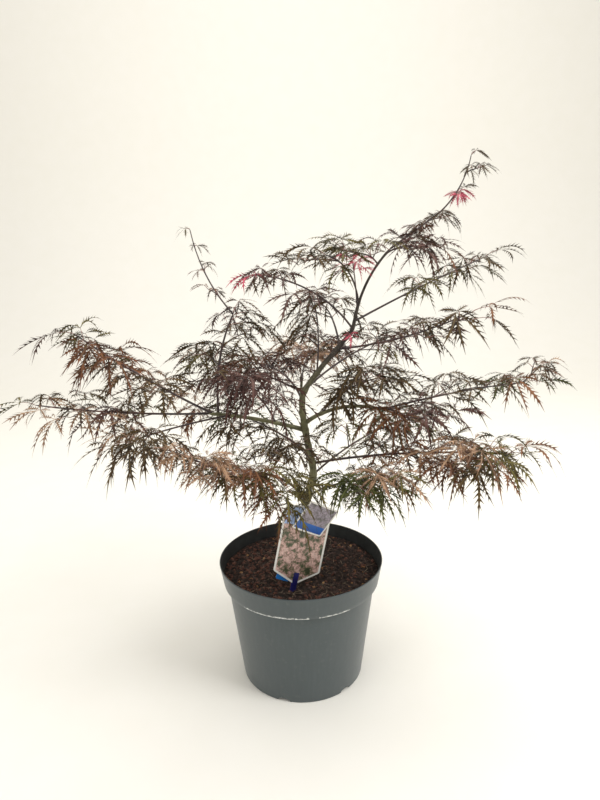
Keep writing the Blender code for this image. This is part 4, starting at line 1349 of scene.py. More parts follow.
def tube(line: Array, radii: Array, sides: int) -> tuple[Array, Array, Array]:
    """Makes a closed tube round a line.

    Args:
        line: The line's points.
        radii: The radius at each point, or at each point and side.
        sides: The number of sides.

    Returns:
        The points, the faces, and the UV of each corner in metres round and along the tube.
    """
    ways = np.gradient(line, axis=0)
    ways /= np.linalg.norm(ways, axis=1)[:, None]
    across = np.cross(ways[0], [0.31, 0.92, 0.24])
    angles = math.tau * np.arange(sides) / sides
    radii = np.asarray(radii, float)
    radii = radii if radii.ndim == 2 else radii[:, None]
    points = np.empty((len(line), sides, 3))
    for i, way in enumerate(ways):
        across = unit(across - way * across.dot(way))
        up = np.cross(way, across)
        spokes = np.cos(angles)[:, None] * across + np.sin(angles)[:, None] * up
        points[i] = line[i] + radii[i][:, None] * spokes
    ring, side = np.meshgrid(np.arange(len(line) - 1), np.arange(sides), indexing="ij")
    ring, side = ring.ravel(), side.ravel()
    following = (side + 1) % sides
    a, b = ring * sides + side, ring * sides + following
    c, d = a + sides, b + sides
    faces = np.concatenate([np.stack([a, b, d], 1), np.stack([a, d, c], 1)])
    places = np.r_[0, np.cumsum(np.linalg.norm(np.diff(line, axis=0), axis=1))]
    girth = math.tau * float(radii.mean()) / sides
    lows, highs = places[ring], places[ring + 1]
    left, right = side * girth, (side + 1) * girth
    first = np.stack([np.stack([left, lows], 1), np.stack([right, lows], 1), np.stack([right, highs], 1)], 1)
    second = np.stack([np.stack([left, lows], 1), np.stack([right, highs], 1), np.stack([left, highs], 1)], 1)
    last = (len(line) - 1) * sides
    spin = np.arange(1, sides - 1)
    low_cap = np.stack([np.zeros_like(spin), spin + 1, spin], 1)
    high_cap = np.stack([np.zeros_like(spin), spin, spin + 1], 1) + last
    faces = np.concatenate([faces, low_cap, high_cap])
    caps = np.zeros((2 * len(spin), 3, 2))
    return points.reshape(-1, 3), faces, np.concatenate([first, second, caps])


# Leaves and twigs


@dataclass(frozen=True)
class LobeShape:
    """The outline of a leaf's lobe, 70 mm long: a thin web, slender forward teeth and a tail."""

    stations: tuple[float, ...] = (0.0, 0.14, 0.25, 0.36, 0.47, 0.58, 0.69, 0.81, 1.0)
    web: tuple[float, ...] = (0.0005, 0.0008, 0.0012, 0.0016, 0.0017, 0.0016, 0.0013, 0.0010, 0.0001)
    reach: tuple[float, ...] = (0.0056, 0.0086, 0.0104, 0.0100, 0.0084, 0.0060)
    tooth_share: float = 0.56  # share of each step between teeth that a tooth's root takes
    tooth_root: float = 1.35  # the web's width where a tooth leaves it, against its width between
    sweep: float = 0.085  # how far ahead of its root a tooth's tip lies, as a share of the lobe

    def faces(self) -> Array:
        """Numbers the faces of one lobe.

        Returns:
            Three point numbers for each face.
        """
        n, teeth = len(self.stations), len(self.reach)
        faces = []
        for i in range(n - 1):
            rib, left, right = 3 * i, 3 * i + 1, 3 * i + 2
            k = i - 1
            if 0 <= k < teeth:
                left_end, right_end = 3 * n + k, 3 * n + teeth + k
                left_tip, right_tip = 3 * n + 2 * teeth + k, 3 * n + 3 * teeth + k
                faces += [(rib, rib + 3, left_end), (rib, left_end, left), (rib + 3, left + 3, left_end)]
                faces += [(rib, right_end, rib + 3), (rib, right, right_end), (rib + 3, right_end, right + 3)]
                faces += [(left, left_end, left_tip), (right, right_tip, right_end)]
            else:
                faces += [(rib, rib + 3, left + 3), (rib, left + 3, left)]
                faces += [(rib, right, right + 3), (rib, right + 3, rib + 3)]
        return np.array(faces)

    def tooth_starts(self) -> Array:
        """Where the teeth's roots start along the lobe."""
        return np.array(self.stations[1 : len(self.reach) + 1])

    def tooth_ends(self) -> Array:
        """Where they end."""
        steps = np.diff(self.stations)[1 : len(self.reach) + 1]
        return self.tooth_starts() + steps * self.tooth_share

    def uvs(self) -> Array:
        """Places each point of one lobe: X runs from -1 to 1 across it and Y from 0 to 1 along it.

        Returns:
            The place of each point.
        """
        rows = []
        for t in self.stations:
            rows += [(0.0, t), (0.2, t), (-0.2, t)]
        for across, places in ((0.28, self.tooth_ends()), (1.0, self.tooth_ends() + self.sweep)):
            for side in (1.0, -1.0):
                rows += [(side * across, t) for t in places]
        return np.array(rows)

    def shape(self, hub: Array, reach: Array, up: Array, bend: dict[str, Array]) -> Array:
        """Shapes many lobes at once.

        Args:
            hub: Where each lobe starts.
            reach: Each lobe's way and length before its tip drops.
            up: The way that each blade faces.
            bend: For each lobe its drop, arch and curl in metres, twist and fold in radians, and teeth.

        Returns:
            The points of each lobe.
        """
        length = np.linalg.norm(reach, axis=1)
        scale = ((length / 0.070) ** 0.75)[:, None]
        fold = bend["fold"][:, None, None]
        webs = np.array(self.web)[None] * scale * bend["width"][:, None]
        ribs, sides, ups = self.rib(hub, reach, up, bend, np.array(self.stations)[None])
        left = ribs + (sides * np.cos(fold) + ups * np.sin(fold)) * webs[..., None]
        right = ribs + (ups * np.sin(fold) - sides * np.cos(fold)) * webs[..., None]
        rows = np.stack([ribs, left, right], 2).reshape(len(hub), -1, 3)
        roots = webs[:, 1 : len(self.reach) + 1] * self.tooth_root
        edges = [rows]
        for widths, ahead in ((roots, 0.0), (None, 1.0)):
            for k, sign in enumerate((1.0, -1.0)):
                places = self.tooth_ends()[None] + ahead * bend["sweep"][:, k]
                middles, sides, ups = self.rib(hub, reach, up, bend, np.minimum(places, 0.99))
                wide = widths
                if wide is None:
                    wide = np.array(self.reach)[None] * scale * bend["teeth"][:, k]
                out = sign * sides * np.cos(fold * 1.3) + ups * np.sin(fold * 1.3)
                edges.append(middles + out * wide[..., None])
        return np.concatenate(edges, 1)

    def rib(
        self, hub: Array, reach: Array, up: Array, bend: dict[str, Array], t: Array
    ) -> tuple[Array, Array, Array]:
        """Lays out points along many ribs.

        Args:
            hub: Where each rib starts.
            reach: Its way and length.
            up: The way that its blade faces.
            bend: Its bends.
            t: The shares of its length.

        Returns:
            The points, and at each the sideways and upward directions.
        """
        t = np.broadcast_to(t, (len(hub), t.shape[1]))[..., None]
        side = np.cross(up, reach)
        side /= np.linalg.norm(side, axis=1)[:, None]
        side, lift, way = side[:, None], up[:, None], reach[:, None]
        drop, arch, curl = (bend[key][:, None, None] for key in ("drop", "arch", "curl"))
        points = hub[:, None] + way * t - UP * drop * t**2
        points = points + lift * arch * 4 * t * (1 - t) + side * curl * np.sin(math.pi * t)
        ahead = way - UP * drop * 2 * t + lift * arch * 4 * (1 - 2 * t)
        ahead = ahead + side * curl * math.pi * np.cos(math.pi * t)
        ahead /= np.linalg.norm(ahead, axis=-1)[..., None]
        sides = np.cross(np.broadcast_to(lift, ahead.shape), ahead)
        sides /= np.linalg.norm(sides, axis=-1)[..., None]
        ups = np.cross(ahead, sides)
        twist = bend["twist"][:, None, None] * t
        cos, sin = np.cos(twist), np.sin(twist)
        return points, sides * cos + ups * sin, ups * cos - sides * sin


FULL_LOBES = (
    (-114.0, 0.38), (-78.0, 0.64), (-38.0, 0.90), (0.0, 1.0), (38.0, 0.90), (78.0, 0.64), (114.0, 0.38)
)
FEW_LOBES = ((-98.0, 0.50), (-50.0, 0.80), (0.0, 1.0), (50.0, 0.80), (98.0, 0.50))


@dataclass
class MassDress:
    """One mass of foliage in its final form: its leaves as one piece, and its twigs as another."""

    rule: Rule
    number: int
    lobe: LobeShape = LobeShape()
    petiole_foot: float = 0.00065
    petiole_tip: float = 0.00042
    stem_sides: int = 8
    twig_sides: int = 6
    swelling: float = 0.28  # of a stem where it bears leaves
    unevenness: float = 0.16  # how far a leaf's lobes stand out of its plane
    tight_curl: float = 0.34  # of a curled leaf's lobes, as a share of their length

    def build(self, leaves: list[Material], shoots: list[Material]) -> list[Piece]:
        """Builds both pieces and puts them in the node's place.

        Args:
            leaves: The leaf materials, in the order of LeafTint.
            shoots: The materials of stems and of petioles.

        Returns:
            The leaves and the twigs.
        """
        stem = self.rule.mass.stem.name
        blades = self.leaves().build(f"{stem}_leaves", leaves)
        twigs = self.twigs().build(f"{stem}_twigs", shoots)
        for piece in (blades, twigs):
            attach(piece, "root")
            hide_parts(self.rule.name)
        return [blades, twigs]

    def leaves(self) -> JoinedMesh:
        """Shapes every leaf of the mass, lobe by lobe.

        Returns:
            The joined leaves.
        """
        rng = np.random.default_rng(1000 + self.number)
        hubs, reaches, ups, tints, curls = [], [], [], [], []
        curled = {limb + " end" for limb in self.rule.mass.curled}
        for leaf in self.rule.leaves:
            lobes = FULL_LOBES if len(leaf.lobes) == len(LOBES) else FEW_LOBES
            side = unit(np.cross(UP, leaf.way))
            drop = math.radians(leaf.droop)
            ahead = leaf.way * math.cos(drop) - UP * math.sin(drop)
            up = unit(np.cross(ahead, side))
            for angle, share in lobes:
                turn = math.radians(angle + rng.uniform(-9, 9))
                ray = ahead * math.cos(turn) + side * math.sin(turn)
                ray = unit(ray + up * rng.normal(0.04, self.unevenness))
                hubs.append(leaf.hub)
                reaches.append(ray * leaf.length * share * rng.uniform(0.9, 1.04))
                ups.append(up)
                tints.append(leaf.tint.value)
                curls.append(self.tight_curl if leaf.seed in curled else 0.0)
        hubs, reaches, ups = np.array(hubs), np.array(reaches), np.array(ups)
        lengths = np.linalg.norm(reaches, axis=1)
        bends = self.bends(lengths, rng)
        bends["arch"] += lengths * np.array(curls)
        bends["drop"] += 2.2 * lengths * np.array(curls)
        points = self.lobe.shape(hubs, reaches, ups, bends)
        joined, faces, uvs = JoinedMesh(), self.lobe.faces(), self.lobe.uvs()
        for shape, tint in zip(points, tints):
            joined.add(shape, faces, uvs, tint)
        return joined

    def bends(self, length: Array, rng: np.random.Generator) -> dict[str, Array]:
        """Deals each lobe its own bends.

        Args:
            length: Each lobe's length.
            rng: The seeded dice.

        Returns:
            The bends that LobeShape takes.
        """
        n, teeth = len(length), len(self.lobe.reach)
        return {
            "drop": TIP_DROP * length * rng.normal(1.2, 0.7, n), "arch": length * rng.normal(0.09, 0.06, n),
            "curl": length * rng.normal(0, 0.065, n), "twist": rng.normal(0, 0.9, n),
            "fold": rng.uniform(-0.35, 0.65, n), "width": rng.uniform(0.85, 1.2, n),
            "sweep": self.lobe.sweep * rng.uniform(0.75, 1.25, (n, 2, teeth)),
            "teeth": rng.uniform(0.75, 1.2, (n, 2, teeth)),
        }

    def twigs(self) -> JoinedMesh:
        """Shapes the stems, side twigs and petioles.

        Returns:
            The joined twigs.
        """
        joined = JoinedMesh()
        for limb in self.rule.limbs():
            line = smooth_course(self.rule.plant.lines[limb.name], 5)
            radii = np.linspace(limb.foot / 2, limb.tip / 2, len(line))
            places = np.linspace(0, 1, len(line))
            first, _, count = self.rule.measure(limb)
            for k in range(count):
                share = first + (1 - first) * (k + 0.35) / count
                radii = radii * (
                    1 + self.swelling * np.exp(-(((places - share) * limb.length / 0.0028) ** 2))
                )
            radii[-1] *= 0.5
            joined.add(*tube(line, radii, self.stem_sides), slot=0)
        for twig in self.rule.twigs:
            line = smooth_course(twig.line, 4)
            radii = np.linspace(twig.radii[0], twig.radii[-1] * 0.75, len(line)) * 0.85
            joined.add(*tube(line, radii, self.twig_sides), slot=0)
        for leaf in self.rule.leaves:
            joined.add(*self.petiole(leaf), slot=1)
        return joined

    def petiole(self, leaf: Leaf) -> tuple[Array, Array, Array]:
        """Shapes a leaf's stalk, which rises and then arches over to its blade.

        Args:
            leaf: The leaf.

        Returns:
            The stalk's points, faces and UVs.
        """
        t = np.linspace(0, 1, 6)[:, None]
        length = float(np.linalg.norm(leaf.hub - leaf.root))
        line = leaf.root + (leaf.hub - leaf.root) * t + UP * 0.32 * length * t * (1 - t)
        return tube(line, np.linspace(self.petiole_foot, self.petiole_tip, 6), 4)


# Trunk and boughs


@dataclass
class BarkedLimb:
    """The trunk or a bough with its bark relief, and a collar wherever something grows out of it."""

    name: str
    line: Array
    radii: Array
    collars: tuple[tuple[float, float], ...]  # share of the length, and swelling
    sides: int = 28
    ridge: float = 0.035
    streak_length: float = 0.012
    collar_length: float = 0.0042
    buttress: float = 0.0
    seed: float = 0.0

    def build(self, material: Material) -> Piece:
        """Builds the limb and puts it in its node's place.

        Args:
            material: The bark.

        Returns:
            The limb.
        """
        joined = JoinedMesh()
        joined.add(*tube(self.line, self.relief(), self.sides))
        piece = joined.build(f"barked_{self.name}", [material])
        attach(piece, "root")
        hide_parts(self.name)
        return piece

    def relief(self) -> Array:
        """Works out the radius at each station and side, with ridges, knots, collars and root flare.

        Returns:
            The radii.
        """
        places = np.r_[0, np.cumsum(np.linalg.norm(np.diff(self.line, axis=0), axis=1))]
        angles = math.tau * np.arange(self.sides) / self.sides
        swell = np.ones(len(places))
        for share, rise in self.collars:
            swell += rise * np.exp(-(((places - share * places[-1]) / self.collar_length) ** 2))
        ridges = np.empty((len(places), self.sides))
        for i, place in enumerate(places):
            for j, angle in enumerate(angles):
                spot = Vector(
                    (2.2 * math.cos(angle), 2.2 * math.sin(angle), place / self.streak_length + self.seed)
                )
                knot = Vector((0.9 * math.cos(angle), 0.9 * math.sin(angle), place / 0.02 - self.seed))
                ridges[i, j] = noise.noise(spot * 1.6) + 1.4 * noise.noise(knot)
        fade = np.exp(-places / 0.012)[:, None]
        roots = self.buttress * fade * (0.6 * np.cos(3 * angles + 0.6) + 0.4 * np.cos(5 * angles + 2.0))
        return self.radii[:, None] * (swell[:, None] + self.ridge * ridges + roots)


@dataclass
class Limbs:
    """The trunk and its boughs: lines for all that grows from them, and the barked pieces."""

    plant: Plant
    foot_diameter: float = 0.0155
    fork_diameter: float = 0.0052
    root_flare: float = 0.007
    flare_height: float = 0.03

    def lay_out(self, space: Space) -> None:
        """Lays out the trunk's and the boughs' lines.

        Args:
            space: Where their segments are kept.
        """
        plant = self.plant
        stations = [(x, y, SOIL_TOP + GAP + z) for z, x, y in TRUNK_COURSE]
        line = smooth_course(stations, 3)
        shares = np.linspace(0, 1, len(line))
        radii = (self.foot_diameter + (self.fork_diameter - self.foot_diameter) * shares) / 2
        extra = [line[0] + (line[1] - line[0]) * share for share in (0.3, 0.65)]
        radius = [radii[0] + (radii[1] - radii[0]) * share for share in (0.3, 0.65)]
        line = np.vstack([line[:1], extra, line[1:]])
        radii = np.r_[radii[:1], radius, radii[1:]]
        height = np.clip((line[:, 2] - line[0, 2]) / self.flare_height, 0, 1)
        plant.lines["trunk"], plant.radii["trunk"] = line, radii + self.root_flare * (1 - height) ** 2
        for limb in BOUGHS:
            plant.grow(limb, BOUGH_STEPS)
        for name in ("trunk", *[limb.name for limb in BOUGHS]):
            line, radii = plant.lines[name], plant.radii[name]
            plant.rows[name] = space.put(name, line[:-1], line[1:], radii[:-1])

    def build(self, material: Material) -> list[Piece]:
        """Builds the barked pieces.

        Args:
            material: The bark.

        Returns:
            The pieces.
        """
        limbs = [self.trunk(), *[self.bough(limb, 3.7 * i + 2) for i, limb in enumerate(BOUGHS)]]
        return [limb.build(material) for limb in limbs]

    def trunk(self) -> BarkedLimb:
        """Draws the trunk finely.

        Returns:
            The trunk.
        """
        coarse = self.plant.lines["trunk"]
        line = smooth_course(coarse, 8)
        radii = np.interp(
            np.linspace(0, len(coarse) - 1, len(line)), np.arange(len(coarse)), self.plant.radii["trunk"]
        )
        collars = self.collars("trunk") + ((0.16, 0.10), (0.33, 0.09), (0.68, 0.12), (0.76, 0.10))
        return BarkedLimb("trunk", line, radii, collars, sides=40, buttress=0.16)

    def bough(self, limb: Limb, seed: float) -> BarkedLimb:
        """Draws a bough finely, closed round its tip.

        Args:
            limb: The bough.
            seed: The start of its relief.

        Returns:
            The bough.
        """
        line = smooth_course(self.plant.lines[limb.name], 10)
        radii = np.linspace(limb.foot / 2, limb.tip / 2, len(line))
        places = np.r_[0, np.cumsum(np.linalg.norm(np.diff(line, axis=0), axis=1))]
        radii = radii * (1 + 0.45 * np.exp(-places / 0.007))
        radii[-3:] *= np.array([0.93, 0.75, 0.4])
        return BarkedLimb(limb.name, line, radii, self.collars(limb.name), sides=24, seed=seed)

    def collars(self, name: str) -> tuple[tuple[float, float], ...]:
        """Finds where limbs leave another.

        Args:
            name: The parent's name.

        Returns:
            The share of its length and the swelling of each collar.
        """
        grown = [limb for limb in BOUGHS if limb.parent == name]
        grown += [mass.stem for mass in MASSES if mass.stem.parent == name]
        return tuple((limb.at, 0.22 if limb in BOUGHS else 0.14) for limb in grown if limb.at < 0.97)


@dataclass
class Crown:
    """All the masses of foliage, laid out together so that none runs into another."""

    plant: Plant
    shoot: ShootFinish = ShootFinish("one_year_shoot", "#2c2023", "#4b3a36", "#7c6c5c")
    stalk: ShootFinish = ShootFinish("leaf_stalk", "#6f4a44", "#a0776a", "#b8988a")
    finer_foreign_clearance: float = 0.0022
    finer_clearance: float = 0.0004

    def lay_out(self, space: Space) -> list[Rule]:
        """Lays out the stems of every mass, then clothes the masses, and then carries them on.

        Args:
            space: What stands where.

        Returns:
            The clothed masses.
        """
        plant = self.plant
        for mass in MASSES:
            owner = mass.stem.name + "_foliage"
            space.stem_rows[owner] = []
            for limb in (mass.stem, *mass.forks):
                plant.grow(limb, STEM_STEPS)
                line, radii = plant.lines[limb.name], plant.radii[limb.name]
                rows = space.put(owner, line[:-1], line[1:], radii[:-1])
                plant.rows[limb.name] = rows
                space.stem_rows[owner] += sorted(rows)
        rules = [Rule(mass, plant, space) for mass in MASSES]
        for rule in rules:
            rule.clothe()
        LOG.info("the solids' rule gives %d leaves", sum(len(rule.leaves) for rule in rules))
        space.foreign_clearance = self.finer_foreign_clearance
        space.clearance = self.finer_clearance
        for rule in rules:
            rule.carry_on()
        LOG.info("the finer rule brings them to %d", sum(len(rule.leaves) for rule in rules))
        return rules

    def build(self, rules: list[Rule]) -> list[Piece]:
        """Builds every mass.

        Args:
            rules: The clothed masses.

        Returns:
            The pieces.
        """
        leaves = [LEAF_FINISHES[tint].build() for tint in LeafTint]
        shoots = [self.shoot.build(), self.stalk.build()]
        pieces = []
        for number, rule in enumerate(rules):
            pieces += MassDress(rule, number).build(leaves, shoots)
        return pieces


# Pot and potting mix


def select_only(piece: Piece) -> None:
    """Selects one object and makes it active, with nothing else selected.

    Args:
        piece: The object.
    """
    bpy.ops.object.select_all(action="DESELECT")
    piece.select_set(True)
    bpy.context.view_layer.objects.active = piece


def turned_piece(name: str, profile: Rings, sides: int) -> Piece:
    """Turns a closed piece from a circle, which is extruded and resized from one ring to the next.

    Args:
        name: The piece's name.
        profile: The radius and height of each ring, from the middle of one cap to that of the other.
        sides: The number of sides.

    Returns:
        The piece.
    """
    bpy.ops.object.select_all(action="DESELECT")
    radius, height = profile[0]
    bpy.ops.mesh.primitive_circle_add(
        vertices=sides, radius=radius, fill_type="NGON", location=(0, 0, height), enter_editmode=True
    )
    piece = bpy.context.object
    piece.name = name
    bpy.ops.mesh.select_all(action="SELECT")
    for wide, high in profile[1:]:
        bpy.ops.mesh.extrude_region_move(TRANSFORM_OT_translate={"value": (0, 0, high - height)})
        share = wide / radius
        bpy.ops.transform.resize(value=(share, share, 1), center_override=(0, 0, high))
        radius, height = wide, high
    bpy.ops.mesh.select_all(action="SELECT")
    bpy.ops.mesh.remove_doubles(threshold=0.000001)
    bpy.ops.mesh.normals_make_consistent(inside=False)
    bpy.ops.object.mode_set(mode="OBJECT")
    bpy.ops.object.transform_apply(location=True, rotation=True, scale=True)
    return piece


def apply_modifier(piece: Piece, kind: str, **settings: object) -> None:
    """Adds a modifier to a piece and applies it.

    Args:
        piece: The piece.
        kind: The modifier's type.
        settings: Its settings.
    """
    select_only(piece)
    modifier = piece.modifiers.new(kind.lower(), kind)
    for key, value in settings.items():
        setattr(modifier, key, value)
    bpy.ops.object.modifier_apply(modifier=modifier.name)


@dataclass
class NurseryPot:
    """A moulded nursery pot: tapering wall, stepped band with a thin rolled rim, drain notches, and painted
    shade on the inside wall.
    """

    height: float = 0.2155
    rim_radius: float = 0.1437
    band_height: float = 0.0385
    band_foot_radius: float = 0.137
    wall_top_radius: float = 0.1303
    base_radius: float = 0.108
    wall: float = 0.0022
    base_thickness: float = 0.003
    edge: float = 0.0009
    sides: int = 128
    notches: int = 6
    notch_width: float = 0.022
    notch_height: float = 0.0065
    notch_heading: float = -108.0
    finish: PotFinish = PotFinish()
    # the inside wall is painted near-black: painted shade, where the real pot is the same grey plastic as
    # outside
    inside_painted_shade: PlasticFinish = PlasticFinish("soil_dulled_inside_wall", "#282b2a", "#1a1c1b", 0.55)

    def outside(self) -> Rings:
        """Draws the outside from the middle of the base up to the rim.

        Returns:
            The rings.
        """
        step, e = self.height - self.band_height, self.edge
        slope = (self.wall_top_radius - self.base_radius) / step
        band = (self.rim_radius - self.band_foot_radius) / self.band_height
        rings = [(0.004, 0.0), (self.base_radius * 0.5, 0.0), (self.base_radius - 2 * e, 0.0)]
        rings += [(self.base_radius - 0.6 * e, 0.35 * e), (self.base_radius + slope * e, e)]
        for share in (0.08, 0.3, 0.5, 0.7, 0.9):
            rings.append((self.base_radius + slope * step * share, step * share))
        top = self.wall_top_radius
        rings += [(top - 0.0012 * slope, step - 0.0012), (top + 0.0008, step - 0.0003)]
        foot = self.band_foot_radius
        rings += [
            (foot - 1.6 * e, step), (foot - 0.4 * e, step + 0.3 * e), (foot + band * e * 1.5, step + 1.5 * e)
        ]
        for share in (0.2, 0.45, 0.7, 0.92):
            rings.append((foot + band * self.band_height * share, step + self.band_height * share))
        return rings

    def rim(self) -> Rings:
        """Draws the rolled edge from the outside over to the inside.

        Returns:
            The rings.
        """
        half = self.wall / 2
        middle = self.rim_radius - half
        rings = []
        for degrees in np.linspace(0, 180, 7):
            a = math.radians(degrees)
            rings.append((middle + half * math.cos(a), self.height - half + half * math.sin(a)))
        return rings

    def inside(self, offset: float = 0.0) -> Rings:
        """Gives the inside of the wall.

        Args:
            offset: How far it is drawn in.

        Returns:
            The rings, from the base up.
        """
        step = self.height - self.band_height
        slope = (self.rim_radius - self.band_foot_radius) / self.band_height
        band_inside = self.band_foot_radius - self.wall + slope * 2 * self.wall
        return [
            (self.base_radius - self.wall - offset, self.base_thickness + offset),
            (self.wall_top_radius - self.wall - offset, step + offset),
            (band_inside - offset, step + 2 * self.wall + offset),
            (self.rim_radius - self.wall - offset, self.height),
        ]

    def build(self) -> Piece:
        """Builds the pot and puts it in its node's place.

        Returns:
            The pot.
        """
        inner = self.inside()[::-1][1:]
        floor = [(0.05, self.base_thickness), (0.004, self.base_thickness)]
        rings = [*self.outside(), *self.rim(), *inner, *floor]
        piece = turned_piece("moulded_pot", rings, self.sides)
        for i in range(self.notches):
            self.cut_notch(piece, math.radians(self.notch_heading + 360 / self.notches * i))
        select_only(piece)
        bpy.ops.object.shade_smooth_by_angle(angle=math.radians(38))
        piece.data.materials.clear()
        piece.data.materials.append(self.finish.build())
        piece.data.materials.append(self.inside_painted_shade.build())
        # faces that look inwards take the painted shade of the inside wall
        for face in piece.data.polygons:
            face.material_index = int(face.normal.dot(Vector((*face.center.xy, 0)).normalized()) < -0.2)
        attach(piece, "root")
        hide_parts("pot")
        return piece

    def cut_notch(self, piece: Piece, heading: float) -> None:
        """Cuts an arched notch through the foot of the wall.

        Args:
            piece: The pot.
            heading: Its heading, in radians.
        """
        bpy.ops.object.select_all(action="DESELECT")
        out = Vector((math.cos(heading), math.sin(heading), 0))
        bpy.ops.mesh.primitive_cylinder_add(
            vertices=28, radius=0.5, depth=8 * self.wall, location=out * self.base_radius,
            rotation=(0, math.radians(90), heading),
        )
        cutter = bpy.context.object
        cutter.scale = (2 * self.notch_height, self.notch_width, 1)
        bpy.ops.object.transform_apply(location=True, rotation=True, scale=True)
        apply_modifier(piece, "BOOLEAN", operation="DIFFERENCE", object=cutter, solver="EXACT")
        bpy.data.objects.remove(cutter)


class Crumb(Enum):
    """What the potting mix is made of: the number of the finish, and the least and greatest length."""

    PEAT = (0, 0.0015, 0.0045)
    DARK_BARK = (1, 0.003, 0.009)
    RED_BARK = (2, 0.003, 0.011)
    WOOD = (3, 0.003, 0.009)
    FIBRE = (4, 0.010, 0.030)


@dataclass
class PottingMix:
    """The potting mix: an uneven crust below the rim, strewn with bark, wood, peat and fibres."""

    pot: NurseryPot
    dome: float = 0.004
    depth: float = 0.012
    rings: int = 44
    sides: int = 120
    relief: float = 0.0032
    lumps: tuple[tuple[float, float, float], ...] = ((38, 0.3, 1.0), (110, 2.1, 0.6), (260, 5.7, 0.45))
    sink: float = 0.0018  # of the crust below the dome
    mound: float = 0.0012  # round the trunk's foot
    mound_radius: float = 0.018
    trunk_foot: tuple[float, float] = (0.0, 0.012)
    lean: float = 0.45  # of the crumbs, in radians
    crumbs: int = 4400
    fibres: int = 150
    seed: int = 61
    crust: CrumbFinish = CrumbFinish("damp_potting_mix", "#140f0d", "#2b211c", "#43352d")
    crumb_finishes: tuple[CrumbFinish, ...] = (
        CrumbFinish("peat_crumb", "#1a1412", "#342822", "#4e3e36"),
        CrumbFinish("dark_bark_chip", "#1f1714", "#3e2e27", "#604d48", 0.8),
        CrumbFinish("red_bark_chip", "#341f19", "#57372d", "#7d5848", 0.8),
        CrumbFinish("wood_sliver", "#5e4028", "#8a6240", "#b08c62", 0.75),
        CrumbFinish("pale_fibre", "#54463a", "#7c6c5a", "#a8967e", 0.8),
    )

    def __post_init__(self) -> None:
        """Seeds the dice."""
        self.dice = np.random.default_rng(self.seed)

    def edge(self) -> tuple[float, float]:
        """Finds the crust's rim, just inside the pot's wall.

        Returns:
            Its radius and height.
        """
        high = SOIL_TOP - self.dome
        return self.wall_radius(high), high

    def wall_radius(self, height: float) -> float:
        """Gives the radius of the crust's side, a gap inside the pot's wall.

        Args:
            height: The height, within the band.

        Returns:
            The radius.
        """
        wall = self.pot.inside(GAP)
        share = (height - wall[2][1]) / (wall[3][1] - wall[2][1])
        return wall[2][0] + share * (wall[3][0] - wall[2][0])

    def surface(self, x: float, y: float) -> float:
        """Gives the crust's height.

        Args:
            x: Across.
            y: Away.

        Returns:
            The height.
        """
        radius, high = self.edge()
        share = min(1.0, math.hypot(x, y) / radius)
        rise = high + self.dome * (1 - share) - self.sink
        lumps = sum(part * noise.noise(Vector((x, y, at)) * rate) for rate, at, part in self.lumps)
        away = math.hypot(x - self.trunk_foot[0], y - self.trunk_foot[1])
        near_trunk = math.exp(-((away / self.mound_radius) ** 2))
        edge_fade = min(1.0, (1 - share) * 9 + 0.35)
        return rise + self.relief * lumps * edge_fade * 0.55 + self.mound * near_trunk

    def build(self) -> list[Piece]:
        """Builds the crust and what lies on it.

        Returns:
            The pieces.
        """
        crust = self.build_crust()
        strewn = self.build_crumbs()
        for piece in (crust, strewn):
            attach(piece, "root")
            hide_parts("soil")
        return [crust, strewn]

    def build_crust(self) -> Piece:
        """Builds the crust as a closed turned piece with a lumpy top.

        Returns:
            The crust.
        """
        radius, high = self.edge()
        low = high - self.depth
        rings = [(0.003, low), (self.wall_radius(low), low), (radius, high)]
        for i in range(1, self.rings):
            rings.append((radius * (1 - i / self.rings), high + 0.00001 * i))
        piece = turned_piece("potting_mix_crust", rings, self.sides)
        for vertex in piece.data.vertices:
            if vertex.co.z > high - 0.0001:
                vertex.co.z = self.surface(vertex.co.x, vertex.co.y)
        select_only(piece)
        bpy.ops.object.shade_smooth()
        piece.data.materials.clear()
        piece.data.materials.append(self.crust.build())
        return piece

    def build_crumbs(self) -> Piece:
        """Strews the crust with crumbs, chips and fibres, each bedded in it.

        Returns:
            The joined crumbs.
        """
        rng = self.dice
        radius, _ = self.edge()
        joined = JoinedMesh()
        for _ in range(self.crumbs):
            x, y = self.spot(radius - 0.004)
            kind = self.kind(x, y)
            slot, low, high = kind.value
            long = rng.uniform(low, high)
            wide = long * rng.uniform(0.35, 0.75) if kind is not Crumb.PEAT else long * rng.uniform(0.7, 1.0)
            thick = min(long, wide) * rng.uniform(0.25, 0.6)
            points, faces = self.chip(long, wide, thick)
            points = points @ self.attitude()
            joined.add(points + np.array([x, y, self.surface(x, y) + 0.25 * thick]), faces, slot=slot)
        for _ in range(self.fibres):
            x, y = self.spot(radius - 0.016)
            long = rng.uniform(*Crumb.FIBRE.value[1:])
            heading, bend = rng.uniform(0, math.tau), rng.normal(0, 0.9)
            t = np.linspace(0, 1, 7)
            turn = heading + bend * t
            xs = x + np.cumsum(np.cos(turn)) * long / 7
            ys = y + np.cumsum(np.sin(turn)) * long / 7
            inside = np.hypot(xs, ys) < radius - 0.003
            if not inside.all():
                continue
            heights = [self.surface(a, b) for a, b in zip(xs, ys)]
            zs = np.array(heights) + 0.0006 + 0.0018 * np.sin(math.pi * t) * rng.uniform(0, 1)
            thin = rng.uniform(0.0002, 0.00045)
            line = np.stack([xs, ys, zs], 1)
            joined.add(*tube(line, np.full(7, thin), 4), slot=Crumb.FIBRE.value[0])
        return joined.build(
            "potting_mix_crumbs", [finish.build() for finish in self.crumb_finishes], smooth=False
        )

    def spot(self, radius: float) -> tuple[float, float]:
        """Picks a spot on the crust.

        Args:
            radius: The furthest it may be from the middle.

        Returns:
            The spot.
        """
        out = radius * math.sqrt(self.dice.uniform(0, 1))
        heading = self.dice.uniform(0, math.tau)
        return out * math.cos(heading), out * math.sin(heading)

